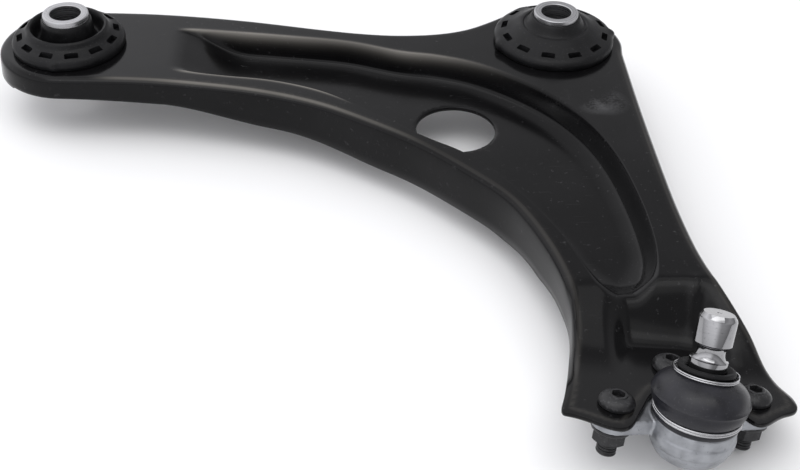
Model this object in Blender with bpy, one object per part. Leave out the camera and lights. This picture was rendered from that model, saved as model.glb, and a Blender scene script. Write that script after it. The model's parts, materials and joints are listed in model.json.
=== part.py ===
"""Front suspension control arm: a pressed steel shell with two vertical rubber
bushes and a bolted ball joint whose stud swings and spins in its socket.

Metres, +Z up. The parts are laid out in the arm's own frame, where the rear
bush's axis stands at x = y = 0, the front bush lies along +X and the ball joint
lies towards -Y. At the end the whole arm is moved so that the middle of its
footprint is the origin and its lowest point is at z = 0.
"""
import math

import bmesh
import bpy
from mathutils import Matrix, Vector
from mathutils.geometry import delaunay_2d_cdt

# ---------------------------------------------------------------- driving dimensions
BUSH_SPACING = 0.3125          # rear bush axis to front bush axis
SLEEVE_FOOT = 0.015
SLEEVE_TOP = 0.065
UPPER_FACE_Z = 0.043           # top of the shell round the bushes
SHEET = 0.0028                 # thickness of the pressed sheet
EDGE_RADIUS = 0.0055           # outside radius where the sheet turns down
GAP = 0.0003                   # clearance kept between pieces that touch

RECESS_DEPTH = 0.017
RECESS_WALL = 0.0050           # plan width of the recess's steep wall
RECESS_FOOT = 0.0150           # and out to the end of the curve at its foot
WALL_SHARE = 0.72              # of the depth, the rest is in the foot's curve
LIGHTENING_HOLE = (0.2428, -0.0760)
LIGHTENING_HOLE_RADIUS = 0.0242

COLLAR_BORE = 0.0298           # inside radius of the turned-down bush collars
COLLAR_EDGE = 0.0036           # radius of the turn at the mouth of a collar
COLLAR_DEPTH = 0.0045          # straight part of a collar

BALL_CENTRE = Vector((0.3323, -0.3243, 0.0285))
JOINT_LEAN = math.radians(12)  # the housing's axis leans in towards the bushes
JOINT_SIDE_LEAN = math.radians(6)
STUD_LEAN = math.radians(13)   # the stud leans further, as it hangs at rest
STUD_SIDE_LEAN = math.radians(3.6)
BALL_RADIUS = 0.013
PIN_RADIUS = 0.009
STUD_TOP = 0.054               # ball centre to the stud's end face
HOUSING_RADIUS = 0.020
PLATE_LEVEL = 0.0050           # ball centre to the plate's top, along the housing's axis
PLATE_CUTOUT_RADIUS = 0.0236

# Bolts round the ball joint, in the plane of the plate.
BOLT_PLACES = {"left": (-0.0373, 0.0038), "right": (0.0324, 0.0160), "rear": (-0.0030, 0.0391)}
BOLT_RADIUS = 0.0049
BOLT_HOLE_RADIUS = 0.0053
HEAD_RADIUS = 0.00875
HEAD_HEIGHT = 0.0055
SOCKET_FLATS = 0.006
NUT_FLATS = 0.015
NUT_HEIGHT = 0.0085
THREAD_REACH = 0.0165          # how far a bolt reaches below its ear
EAR_TOP = PLATE_LEVEL - SHEET - GAP
EAR_THICKNESS = 0.0075
EAR_RADIUS = 0.0105

ROUND_STEPS = 28               # facets round a bush or the ball joint

# Outline of the shell, seen from above, as the points its curves run through.
SOUTH_EDGE = [(0.0000, -0.0445), (0.0500, -0.0470), (0.0950, -0.0545), (0.1280, -0.0630),
              (0.1590, -0.0760), (0.1900, -0.0965), (0.2150, -0.1160), (0.2400, -0.1420),
              (0.2590, -0.1650), (0.2700, -0.1880), (0.2790, -0.2180), (0.2833, -0.2450),
              (0.2838, -0.2620), (0.2811, -0.2788), (0.2738, -0.3087), (0.2692, -0.3235)]
EAST_EDGE = [(0.3868, -0.3090), (0.3856, -0.2980), (0.3838, -0.2860), (0.3785, -0.2690),
             (0.3710, -0.2550), (0.3642, -0.2400), (0.3595, -0.2180), (0.3570, -0.1880),
             (0.3560, -0.1500), (0.3560, -0.0800), (0.3573, -0.0100)]
NORTH_EDGE = [(0.2838, 0.0375), (0.2710, 0.0280), (0.2560, 0.0190), (0.2370, 0.0135),
              (0.2120, 0.0120), (0.1880, 0.0145), (0.1610, 0.0200), (0.1080, 0.0325),
              (0.0550, 0.0410), (0.0040, 0.0443)]
# The plate's free edges either side of the ball joint, in the plane of the plate.
FRONT_LEFT_EDGE = [(-0.0655, -0.0056), (-0.0618, -0.0056), (-0.0566, -0.0072),
                   (-0.0515, -0.0097), (-0.0462, -0.0130), (-0.0415, -0.0147),
                   (-0.0369, -0.0150), (-0.0330, -0.0115), (-0.0300, -0.0065),
                   (-0.0262, 0.0010)]
FRONT_RIGHT_EDGE = [(0.0260, -0.0034), (0.0300, -0.0046), (0.0340, -0.0028), (0.0400, 0.0022),
                    (0.0450, 0.0056), (0.0497, 0.0076), (0.0532, 0.0108)]
REAR_END_RADIUS = 0.0445
FRONT_END_RADIUS = 0.0465

# Top edge of the recess's wall: up the far side, round the neck and back.
RECESS_EDGE = [(0.0700, 0.0160), (0.1000, 0.0140), (0.1350, 0.0085), (0.1780, 0.0005),
               (0.2110, -0.0120), (0.2350, -0.0175), (0.2590, -0.0270), (0.2820, -0.0435),
               (0.3020, -0.0640), (0.3160, -0.0850), (0.3260, -0.1080), (0.3325, -0.1350),
               (0.3360, -0.1650), (0.3372, -0.1900), (0.3362, -0.2150), (0.3320, -0.2370),
               (0.3240, -0.2500), (0.3120, -0.2515), (0.3040, -0.2485), (0.2985, -0.2400),
               (0.2966, -0.2324), (0.2918, -0.2143), (0.2865, -0.1975), (0.2783, -0.1790),
               (0.2673, -0.1580), (0.2553, -0.1388), (0.2400, -0.1230), (0.2205, -0.1083),
               (0.1922, -0.0835), (0.1625, -0.0598), (0.1320, -0.0465), (0.1010, -0.0403),
               (0.0822, -0.0363), (0.0700, -0.0290)]
RECESS_START = 0.062           # the floor begins to sink at this x
RECESS_FULL = 0.125            # and is at full depth from here on
RECESS_END = -0.2580           # the floor is level with the neck at this y
RECESS_END_FADE = 0.035        # and at full depth this much further back
NECK_START = -0.2360           # the shell begins to drop to the plate at this y
NECK_END = -0.2690             # and is on the plate's plane from here on, at its middle
NECK_SIDE_END = -0.2960        # or from here on, along its two sides
NECK_HALF_WIDTH = 0.018        # the middle's reach to either side
NECK_SIDE_WIDTH = 0.016        # the change from middle to side

FAR_FLANGE_HEIGHT = 0.0145
# Height the flange reaches down to along the near side, against x.
NEAR_FLANGE_FOOT = [(0.0, 0.0295), (0.06, 0.0275), (0.13, 0.0190), (0.20, 0.0135),
                    (0.26, 0.0140), (0.275, 0.0180), (0.285, 0.0240)]
FLANGE_TIP_ANGLE = math.radians(24)   # how far the edge still turns down at the tips
FLANGE_TIP_Y = -0.3160         # the flange begins at this y
FLANGE_FADE = 0.060            # and has its full height this much further on
PLAIN_EDGE_STRIP = 0.0012
SHORTEST_LIP = 0.001
SHORTEST_STRAIGHT = 0.0006     # least flat strip between a lip and its bend
FAR_SIDE_Y = -0.03             # the shallow far flange runs behind this line,
FAR_SIDE_X = 0.30              # and to the right of this one
CUTOUT_ARC = (163, 4)          # degrees the cut-out spans, round the ball joint
FRONT_END_ARC = (-8, 125)      # degrees the shell wraps each bush through
REAR_END_ARC = (85, 270)

# How finely the shell's flat parts and walls are laid out.
SHELL_SPACING = 0.0115
WALL_INSETS = (0.0, 0.0017, 0.0033, RECESS_WALL, 0.0095, RECESS_FOOT)
WALL_POINT_GAP = 0.0014
GRID_POINT_GAP = 0.28 * SHELL_SPACING
BORDER_GAP = 0.3 * SHELL_SPACING
NECK_ROW_SHARE = 0.6           # closer rows where the neck dips to the plate
NECK_ROW_MARGIN = 0.01

# Bushes: radius of the cage's flange, and the radii the rubber's slots lie between.
REAR_CAGE_FLANGE = 0.0332
REAR_SLOTS = (0.0282, 0.0323)
FRONT_CAGE_FLANGE = 0.0363
FRONT_SLOTS = (0.0306, 0.0348)


# ---------------------------------------------------------------- small helpers
def smooth(value):
    """Ease from 0 to 1 as value goes from 0 to 1."""
    value = max(0.0, min(1.0, value))
    return value * value * (3.0 - 2.0 * value)


def material(name, colour, roughness, metallic):
    made = bpy.data.materials.new(name)
    made.use_nodes = True
    shader = made.node_tree.nodes["Principled BSDF"]
    shader.inputs["Base Color"].default_value = (*colour, 1.0)
    shader.inputs["Roughness"].default_value = roughness
    shader.inputs["Metallic"].default_value = metallic
    return made


def add_object(name, bm, finish, place=None, smooth_angle=40):
    """Turn a bmesh into a named object at a place in the arm's frame."""
    bmesh.ops.recalc_face_normals(bm, faces=bm.faces)
    mesh = bpy.data.meshes.new(name)
    bm.to_mesh(mesh)
    bm.free()
    mesh.shade_smooth()
    mesh.set_sharp_from_angle(angle=math.radians(smooth_angle))
    mesh.materials.append(finish)
    made = bpy.data.objects.new(name, mesh)
    bpy.context.collection.objects.link(made)
    made.matrix_world = place or Matrix.Identity(4)
    return made


def spline(points, spacing):
    """Points along a smooth curve through the given ones, about spacing apart."""
    points = [Vector(p) for p in points]
    ends = [2 * points[0] - points[1]] + points + [2 * points[-1] - points[-2]]
    path = []
    for a, b, c, d in zip(ends, ends[1:], ends[2:], ends[3:]):
        steps = max(1, round((c - b).length / spacing))
        for step in range(steps):
            t = step / steps
            path.append(0.5 * ((2 * b) + (c - a) * t + (2 * a - 5 * b + 4 * c - d) * t ** 2
                               + (3 * b - a - 3 * c + d) * t ** 3))
    path.append(points[-1])
    return path


def arc(centre, radius, start, end, steps):
    """Points on an arc, from one angle to another in degrees."""
    angles = [math.radians(start + (end - start) * i / steps) for i in range(steps + 1)]
    return [Vector((centre[0] + radius * math.cos(a), centre[1] + radius * math.sin(a)))
            for a in angles]


def turned(profile, steps=ROUND_STEPS, closed=True):
    """Spin a closed outline of (radius, height) points round the Z axis.

    A profile that isn't closed starts and ends on the axis.
    """
    bm = bmesh.new()
    rings = []
    for radius, height in profile:
        if radius == 0.0:
            rings.append([bm.verts.new((0.0, 0.0, height))])
            continue
        rings.append([bm.verts.new((radius * math.cos(2 * math.pi * i / steps),
                                    radius * math.sin(2 * math.pi * i / steps), height))
                      for i in range(steps)])
    pairs = list(zip(rings, rings[1:]))
    if closed:
        pairs.append((rings[-1], rings[0]))
    for low, high in pairs:
        for i in range(steps):
            j = (i + 1) % steps
            loop = [low[i % len(low)], low[j % len(low)], high[j % len(high)], high[i % len(high)]]
            corners = list(dict.fromkeys(loop))
            bm.faces.new(corners)
    return bm


def prism(outline, low, high):
    """Extrude a closed plan outline from one height to another."""
    bm = bmesh.new()
    bottom = [bm.verts.new((x, y, low)) for x, y in outline]
    top = [bm.verts.new((x, y, high)) for x, y in outline]
    bm.faces.new(bottom[::-1])
    bm.faces.new(top)
    for i in range(len(outline)):
        j = (i + 1) % len(outline)
        bm.faces.new((bottom[i], bottom[j], top[j], top[i]))
    return bm


def polygon(sides, radius, start=0.0):
    turn = 2 * math.pi / sides
    return [(radius * math.cos(start + turn * i), radius * math.sin(start + turn * i))
            for i in range(sides)]


def combine(target, tool_bm, operation, place=None):
    """Join or cut the target with a tool shape, by a Boolean modifier."""
    bmesh.ops.recalc_face_normals(tool_bm, faces=tool_bm.faces)
    mesh = bpy.data.meshes.new(target.name + "_tool")
    tool_bm.to_mesh(mesh)
    tool_bm.free()
    tool = bpy.data.objects.new(mesh.name, mesh)
    bpy.context.collection.objects.link(tool)
    tool.matrix_world = place or target.matrix_world
    tool.hide_render = True
    tool.display_type = "WIRE"
    change = target.modifiers.new(operation.title(), "BOOLEAN")
    change.operation = operation
    change.object = tool
    return tool


# ---------------------------------------------------------------- frames on the arm
HOUSING_FRAME = (Matrix.Translation(BALL_CENTRE) @ Matrix.Rotation(-JOINT_LEAN, 4, "X")
                 @ Matrix.Rotation(JOINT_SIDE_LEAN, 4, "Y"))
STUD_FRAME = (HOUSING_FRAME @ Matrix.Rotation(-STUD_LEAN, 4, "X")
              @ Matrix.Rotation(STUD_SIDE_LEAN, 4, "Y"))
REAR_BUSH = Vector((0.0, 0.0))
FRONT_BUSH = Vector((BUSH_SPACING, 0.0))
PLATE_POINT = HOUSING_FRAME @ Vector((0.0, 0.0, PLATE_LEVEL))
PLATE_NORMAL = HOUSING_FRAME.col[2].xyz


# ---------------------------------------------------------------- pressed shell
def plate_height(point):
    """Height of the ball joint plate's plane at a plan point."""
    return PLATE_POINT.z - (point - PLATE_POINT.xy).dot(PLATE_NORMAL.xy) / PLATE_NORMAL.z


def on_plate(points):
    """Plan points of places given in the plane of the plate."""
    return [(HOUSING_FRAME @ Vector((p[0], p[1], PLATE_LEVEL))).xy for p in points]


def distance_inside(point, loop):
    """Distance from a plan point to a closed loop, positive inside it."""
    nearest = 1.0
    inside = False
    for a, b in zip(loop, loop[1:] + loop[:1]):
        side = b - a
        along = max(0.0, min(1.0, (point - a).dot(side) / side.length_squared))
        nearest = min(nearest, (point - a - side * along).length)
        if (a.y > point.y) != (b.y > point.y):
            inside ^= point.x < a.x + (point.y - a.y) * side.x / side.y
    return nearest if inside else -nearest


def recess_fall(inset):
    """Share of the recess's depth that is reached this far inside its edge."""
    foot = 1.0 - max(0.0, min(1.0, inset / RECESS_FOOT))
    return WALL_SHARE * smooth(inset / RECESS_WALL) + (1.0 - WALL_SHARE) * (1.0 - foot ** 2)


def face_height(point, recess):
    """Height of the shell's upper face at a plan point."""
    depth = RECESS_DEPTH * smooth((point.x - RECESS_START) / (RECESS_FULL - RECESS_START))
    depth *= smooth((point.y - RECESS_END) / RECESS_END_FADE)
    pressed = UPPER_FACE_Z - depth * recess_fall(distance_inside(point, recess))
    to_side = smooth((abs(point.x - PLATE_POINT.x) - NECK_HALF_WIDTH) / NECK_SIDE_WIDTH)
    neck_end = NECK_END + (NECK_SIDE_END - NECK_END) * to_side
    drop = smooth((NECK_START - point.y) / (NECK_START - neck_end))
    return pressed + (plate_height(point) - pressed) * drop


def flange_height(point, crown):
    """How far the flange reaches below the shell's face at a point of the outline."""
    fade = smooth((point.y - FLANGE_TIP_Y) / FLANGE_FADE)
    if point.y > FAR_SIDE_Y or point.x > FAR_SIDE_X:
        return max(FAR_FLANGE_HEIGHT * fade, SHORTEST_LIP)
    foot = NEAR_FLANGE_FOOT[0][1] if point.x < 0.0 else NEAR_FLANGE_FOOT[-1][1]
    for (x0, z0), (x1, z1) in zip(NEAR_FLANGE_FOOT, NEAR_FLANGE_FOOT[1:]):
        if x0 <= point.x <= x1:
            foot = z0 + (z1 - z0) * smooth((point.x - x0) / (x1 - x0))
    return max((crown - foot) * fade, SHORTEST_LIP)


def shell_outline(spacing):
    """Closed outline, anticlockwise, and how far each point's edge turns down."""
    runs = [
        (spline(SOUTH_EDGE, spacing), "flanged"),
        (spline(on_plate(FRONT_LEFT_EDGE), spacing * 0.5), "plain"),
        (cutout_arc(), "plain"),
        (spline(on_plate(FRONT_RIGHT_EDGE), spacing * 0.5), "plain"),
        (spline(EAST_EDGE, spacing), "flanged"),
        (arc(FRONT_BUSH, FRONT_END_RADIUS, *FRONT_END_ARC, 18)[1:-1], "flanged"),
        (spline(NORTH_EDGE, spacing), "flanged"),
        (arc(REAR_BUSH, REAR_END_RADIUS, *REAR_END_ARC, 24)[1:-1], "flanged"),
    ]
    outline = []
    turns = []
    for points, kind in runs:
        for point in points:
            fade = smooth((point.y - FLANGE_TIP_Y) / FLANGE_FADE)
            turn = FLANGE_TIP_ANGLE + (math.pi / 2 - FLANGE_TIP_ANGLE) * fade
            outline.append(point)
            turns.append(0.0 if kind == "plain" else turn)
    return outline, soften(turns, 2)


def cutout_arc():
    """The plate's edge round the ball joint, from its left side to its right."""
    return on_plate(arc((0.0, 0.0), PLATE_CUTOUT_RADIUS, *CUTOUT_ARC, 16))


def soften(values, passes):
    for _ in range(passes):
        values = [(values[i - 1] + 2 * values[i] + values[(i + 1) % len(values)]) / 4
                  for i in range(len(values))]
    return values


def outward_normals(outline):
    normals = []
    for i, point in enumerate(outline):
        ahead = (outline[(i + 1) % len(outline)] - point).normalized()
        behind = (point - outline[i - 1]).normalized()
        tangent = (ahead + behind).normalized()
        normals.append(Vector((tangent.y, -tangent.x)))
    return normals


def edge_profile(turn, height):
    """(inset, drop) points of a turned-down edge, from its lip to the flat face."""
    bend = max(EDGE_RADIUS * turn, PLAIN_EDGE_STRIP)
    radius = bend / turn if turn > 0.01 else 0.0
    straight = SHORTEST_STRAIGHT
    if turn > 0.3:
        straight = max(height - radius * (1 - math.cos(turn)), SHORTEST_STRAIGHT)

    def at(angle, extra):
        if radius == 0.0:
            return (bend * angle + extra, 0.0)
        return (radius * math.sin(angle * turn) + extra * math.cos(turn),
                radius * (1 - math.cos(angle * turn)) + extra * math.sin(turn))

    reach = [at(1.0, straight), at(1.0, 0.0), at(0.66, 0.0), at(0.33, 0.0), at(0.0, 0.0)]
    widest = reach[0][0]
    return [(widest - out, down) for out, down in reach]


def shell_rings(spacing, recess):
    """Rings of points that follow the outline, from the flange's lip inwards."""
    outline, turns = shell_outline(spacing)
    normals = outward_normals(outline)
    rings = [[] for _ in range(5)]
    for point, turn, normal in zip(outline, turns, normals):
        first_guess = edge_profile(turn, 0.01)[-1][0]
        crown = face_height(point - normal * first_guess, recess)
        profile = edge_profile(turn, flange_height(point, crown))
        for ring, (inset, drop) in zip(rings, profile):
            place = point - normal * inset
            ring.append(Vector((place.x, place.y, face_height(place, recess) - drop)))
    return rings


def round_hole_rings(centre, radius, steps, recess):
    return [Vector((p.x, p.y, face_height(p, recess)))
            for p in arc(centre, radius, 0, 360, steps)[:-1]]


def collar_rings(centre, recess):
    """A bush hole whose edge turns down into a collar, from its lip outwards."""
    rings = []
    for turned_by in (90, 45, 0):
        angle = math.radians(turned_by)
        radius = COLLAR_BORE + COLLAR_EDGE * (1 - math.sin(angle))
        drop = COLLAR_EDGE * (1 - math.cos(angle))
        rings.append([Vector((p.x, p.y, UPPER_FACE_Z - drop))
                      for p in arc(centre, radius, 0, 360, ROUND_STEPS)[:-1]])
    lip = [Vector((p.x, p.y, p.z - COLLAR_DEPTH)) for p in rings[0]]
    return [lip] + rings


def add_strip(bm, outer, inner):
    for i in range(len(outer)):
        j = (i + 1) % len(outer)
        bm.faces.new((outer[i], outer[j], inner[j], inner[i]))


def fill_points(rim, holes, recess, spacing):
    """Plan points that carry the recess's walls, the neck and the flat faces."""
    normals = outward_normals(recess)
    walls = [p - n * inset for inset in WALL_INSETS for p, n in zip(recess, normals)]
    grid = []
    low_x, high_x = min(p.x for p in rim), max(p.x for p in rim)
    low_y, high_y = min(p.y for p in rim), max(p.y for p in rim)
    row = low_y
    while row < high_y:
        column = low_x
        while column < high_x:
            place = Vector((column, row))
            depth = distance_inside(place, recess)
            if not -BORDER_GAP < depth < RECESS_FOOT + BORDER_GAP:
                grid.append(place)
            column += spacing
        row += spacing * (NECK_ROW_SHARE if row < NECK_START + NECK_ROW_MARGIN else 1.0)
    kept = []
    for points, least in ((walls, WALL_POINT_GAP), (grid, GRID_POINT_GAP)):
        for p in points:
            clear_of_rim = distance_inside(p, rim) > BORDER_GAP
            clear_of_holes = all(distance_inside(p, hole) < -BORDER_GAP for hole in holes)
            if clear_of_rim and clear_of_holes and all((p - q).length > least for q in kept):
                kept.append(p)
    return kept


def make_shell(finish):
    spacing = SHELL_SPACING
    recess = spline(RECESS_EDGE + RECESS_EDGE[:1], spacing)[:-1]
    recess.reverse()
    bm = bmesh.new()
    edge_rings = shell_rings(spacing, recess)
    loops = [edge_rings[-1]]
    rows = [[bm.verts.new(p) for p in ring] for ring in edge_rings]
    for outer, inner in zip(rows, rows[1:]):
        add_strip(bm, outer, inner)
    boundary = [rows[-1]]
    for centre in (REAR_BUSH, FRONT_BUSH):
        rings = collar_rings(centre, recess)
        rows = [[bm.verts.new(p) for p in ring] for ring in rings]
        for lower, upper in zip(rows, rows[1:]):
            add_strip(bm, upper, lower)
        loops.append(rings[-1])
        boundary.append(rows[-1])
    plain_holes = [(Vector(LIGHTENING_HOLE), LIGHTENING_HOLE_RADIUS, 32)]
    for x, y in BOLT_PLACES.values():
        centre = HOUSING_FRAME @ Vector((x, y, PLATE_LEVEL))
        plain_holes.append((centre.xy, BOLT_HOLE_RADIUS, 14))
    for centre, radius, steps in plain_holes:
        ring = round_hole_rings(centre, radius, steps, recess)
        loops.append(ring)
        boundary.append([bm.verts.new(p) for p in ring])

    flat_loops = [[p.xy for p in loop] for loop in loops]
    inner_points = fill_points(flat_loops[0], flat_loops[1:], recess, spacing)
    fixed = []
    edges = []
    for loop in flat_loops:
        first = len(fixed)
        edges += [(first + i, first + (i + 1) % len(loop)) for i in range(len(loop))]
        fixed += loop
    result = delaunay_2d_cdt(fixed + inner_points, edges, [], 0, 1e-7)
    verts = [v for row in boundary for v in row]
    for p in inner_points:
        verts.append(bm.verts.new((p.x, p.y, face_height(p, recess))))
    for triangle in result[2]:
        middle = sum((result[0][i] for i in triangle), Vector((0.0, 0.0))) / 3
        in_hole = any(distance_inside(middle, hole) > 0 for hole in flat_loops[1:])
        if distance_inside(middle, flat_loops[0]) > 0 and not in_hole:
            bm.faces.new([verts[i] for i in triangle])
    shell = add_object("arm_shell", bm, finish)
    if shell.data.polygons[-1].normal.z < 0:
        shell.data.flip_normals()
    wall = shell.modifiers.new("Sheet thickness", "SOLIDIFY")
    wall.thickness = SHEET
    wall.offset = -1.0
    wall.use_even_offset = True
    wall.thickness_clamp = 0.0


# ---------------------------------------------------------------- bushes
SLEEVE_BORE = 0.0096
SLEEVE_RADIUS = 0.0143
SLEEVE_MIDDLE = (SLEEVE_FOOT + SLEEVE_TOP) / 2


def bush_sleeve_profile():
    """Thick steel tube with chamfered ends, about its own middle."""
    half = (SLEEVE_TOP - SLEEVE_FOOT) / 2
    chamfer = 0.0006
    return [(SLEEVE_BORE, chamfer - half), (SLEEVE_BORE + chamfer, -half),
            (SLEEVE_RADIUS - chamfer, -half), (SLEEVE_RADIUS, chamfer - half),
            (SLEEVE_RADIUS, half - chamfer), (SLEEVE_RADIUS - chamfer, half),
            (SLEEVE_BORE + chamfer, half), (SLEEVE_BORE, half - chamfer)]


CAGE_INNER = 0.0277
CAGE_FOOT = 0.0225
CAGE_OUTER = COLLAR_BORE - GAP
CAGE_FLANGE_Z = UPPER_FACE_Z + GAP
CAGE_FLANGE_THICKNESS = 0.0015
RUBBER_SEAT_Z = CAGE_FLANGE_Z + CAGE_FLANGE_THICKNESS + GAP
RUBBER_BORE = SLEEVE_RADIUS + GAP
WINDOW_COUNT = 12              # slots round the rubber's flange
WINDOW_ANGLE = 18.0            # degrees that each one takes up
WINDOW_FLOOR = 0.0050          # their floor, above the shell's face


def cage_profile(flange_radius):
    """Steel shell pressed into the arm, with a flange under the rubber's."""
    top = CAGE_FLANGE_Z + CAGE_FLANGE_THICKNESS
    return [(CAGE_INNER, CAGE_FOOT), (CAGE_OUTER, CAGE_FOOT), (CAGE_OUTER, CAGE_FLANGE_Z),
            (flange_radius, CAGE_FLANGE_Z), (flange_radius, top), (CAGE_INNER, top)]


def rubber_lower_profile():
    """The part of the rubber inside and below the cage, from the bore outwards."""
    bore, outer = RUBBER_BORE, CAGE_INNER - GAP
    return [(bore, 0.0182), (0.0165, 0.0178), (0.0188, 0.0215), (0.0235, 0.0212),
            (outer, 0.0240), (outer, RUBBER_SEAT_Z)]


def rear_rubber_profile():
    """A flange, a raised crown, a deep moat and a tall collar on the sleeve."""
    base = UPPER_FACE_Z
    upper = [(0.0335, RUBBER_SEAT_Z), (0.0335, base + GAP), (0.0350, base + GAP),
             (0.0354, base + 0.0040), (0.0335, base + 0.0068), (0.0290, base + 0.0090),
             (0.0250, base + 0.0128), (0.0238, base + 0.0135), (0.0226, base + 0.0128),
             (0.0205, base + 0.0055), (0.0185, base + 0.0046), (0.0168, base + 0.0060),
             (0.0160, base + 0.0155), (0.0150, base + 0.0182), (RUBBER_BORE, base + 0.0185)]
    return rubber_lower_profile() + upper


def front_rubber_profile():
    """A flange that rises in a dome to the sleeve, with a shallow round groove."""
    base = UPPER_FACE_Z
    upper = [(0.0366, RUBBER_SEAT_Z), (0.0366, base + GAP), (0.0382, base + GAP),
             (0.0388, base + 0.0040), (0.0370, base + 0.0066), (0.0310, base + 0.0090),
             (0.0270, base + 0.0108), (0.0225, base + 0.0132), (0.0208, base + 0.0138),
             (0.0200, base + 0.0126), (0.0190, base + 0.0132), (0.0172, base + 0.0155),
             (0.0158, base + 0.0185), (RUBBER_BORE, base + 0.0190)]
    return rubber_lower_profile() + upper


def window_cutter(count, inner, outer, width, low, high):
    """Short curved slots in a ring, as one group of separate cutters."""
    bm = bmesh.new()
    for i in range(count):
        middle = 360.0 * (i + 0.5) / count
        outside = arc((0, 0), outer, middle - width / 2, middle + width / 2, 3)
        inside = arc((0, 0), inner, middle + width / 2, middle - width / 2, 3)
        outline = outside + inside
        bottom = [bm.verts.new((p.x, p.y, low)) for p in outline]
        top = [bm.verts.new((p.x, p.y, high)) for p in outline]
        bm.faces.new(bottom[::-1])
        bm.faces.new(top)
        add_strip(bm, bottom, top)
    return bm


def make_bush(name, centre, rubber_profile, cage_flange, windows, finishes):
    """One bush: its inner sleeve, its bonded rubber and its outer steel cage."""
    place = Matrix.Translation((centre.x, centre.y, 0.0))
    middle = Matrix.Translation((centre.x, centre.y, SLEEVE_MIDDLE))
    add_object(name + "_sleeve", turned(bush_sleeve_profile()), finishes["sleeve"], middle)
    rubber = add_object(name + "_rubber", turned(rubber_profile), finishes["rubber"], place)
    inner, outer = windows
    floor = UPPER_FACE_Z + WINDOW_FLOOR
    cutter = window_cutter(WINDOW_COUNT, inner, outer, WINDOW_ANGLE, floor, floor + 0.02)
    combine(rubber, cutter, "DIFFERENCE")
    add_object(name + "_cage", turned(cage_profile(cage_flange)), finishes["cage"], place)


# ---------------------------------------------------------------- ball joint
def housing_profile():
    """A cup with a domed, closed bottom and a neck for the boot's lower lip."""
    r = HOUSING_RADIUS
    return [(0.0, -0.0185), (0.0110, -0.0180), (0.0160, -0.0155), (0.0188, -0.0110),
            (r, -0.0050), (r, 0.0033), (0.0180, 0.0036), (0.0180, 0.0092), (0.0172, 0.0097),
            (0.0168, 0.0097), (0.0168, -0.0030), (0.0158, -0.0085), (0.0110, -0.0140),
            (0.0, -0.0155)]


def seat_profile():
    """Bearing shell that wraps the ball from below its middle to its shoulder."""
    hold = BALL_RADIUS + GAP
    inside = [(hold * math.cos(math.radians(a)), hold * math.sin(math.radians(a)))
              for a in range(-80, 29, 18)]
    return ([(0.0026, -0.0150), (0.0107, -0.0136), (0.0154, -0.0083), (0.0164, -0.0028),
             (0.0164, 0.0066), (inside[-1][0], 0.0066)] + inside[::-1])


def seat_ring_profile():
    """Ring that closes the socket over the bearing shell."""
    return [(0.0123, 0.0070), (0.0164, 0.0070), (0.0164, 0.0094), (0.0131, 0.0094)]


def ear_outline():
    """Rounded triangle through the three bolts, hulled round the cup."""
    bm = bmesh.new()
    for x, y in BOLT_PLACES.values():
        for p in arc((x, y), EAR_RADIUS, 0, 360, 24)[:-1]:
            bm.verts.new((p.x, p.y, 0.0))
    points = sorted((round(v.co.x, 7), round(v.co.y, 7)) for v in bm.verts)
    bm.free()

    def chain(ordered):
        hull = []
        for p in ordered:
            while len(hull) > 1 and cross(hull[-2], hull[-1], p) <= 0:
                hull.pop()
            hull.append(p)
        return hull[:-1]

    return chain(points) + chain(points[::-1])


def cross(a, b, c):
    return (b[0] - a[0]) * (c[1] - a[1]) - (b[1] - a[1]) * (c[0] - a[0])


CUP_CLEARANCE = 0.0184         # bore of the ears, inside the cup's own wall


def make_housing(finish):
    housing = add_object("ball_joint_housing", turned(housing_profile(), closed=False), finish,
                         HOUSING_FRAME)
    low = EAR_TOP - EAR_THICKNESS
    ears = prism(ear_outline(), low, EAR_TOP)
    bore = polygon(ROUND_STEPS, CUP_CLEARANCE, math.pi / ROUND_STEPS)
    ears_tool = combine(housing, ears, "UNION")
    combine(ears_tool, prism(bore, low - 0.01, EAR_TOP + 0.01), "DIFFERENCE")
    for x, y in BOLT_PLACES.values():
        drill = [(x + a, y + b) for a, b in polygon(20, BOLT_HOLE_RADIUS)]
        combine(housing, prism(drill, -0.03, 0.03), "DIFFERENCE")
    return housing


def stud_profile():
    """Ball, neck, taper and clamping pin with its bolt groove, bottom to top."""
    foot = math.degrees(math.asin(0.0105 / BALL_RADIUS))
    ball = [(BALL_RADIUS * math.cos(math.radians(a)), BALL_RADIUS * math.sin(math.radians(a)))
            for a in [-foot] + list(range(-40, 51, 18))]
    neck_r = 0.0068
    ball_top = math.sqrt(BALL_RADIUS ** 2 - neck_r ** 2)
    return ([(0.0, ball[0][1])] + ball + [
        (neck_r, ball_top + 0.0003), (neck_r, 0.0150), (0.0082, 0.0205), (PIN_RADIUS, 0.0235),
        (PIN_RADIUS, 0.0318), (0.0086, 0.0325), (0.0072, 0.0345), (0.0068, 0.0362),
        (0.0072, 0.0378), (0.0084, 0.0393), (PIN_RADIUS, 0.0396), (PIN_RADIUS, 0.0518),
        (0.0074, STUD_TOP), (0.0014, STUD_TOP), (0.0, STUD_TOP - 0.0012)])


def collar_profile():
    """Seal collar on the stud, dished towards the pin."""
    bore = PIN_RADIUS + GAP
    return [(bore, 0.0240), (0.0128, 0.0252), (0.0138, 0.0268), (0.0134, 0.0282),
            (0.0118, 0.0284), (bore, 0.0268)]


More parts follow.
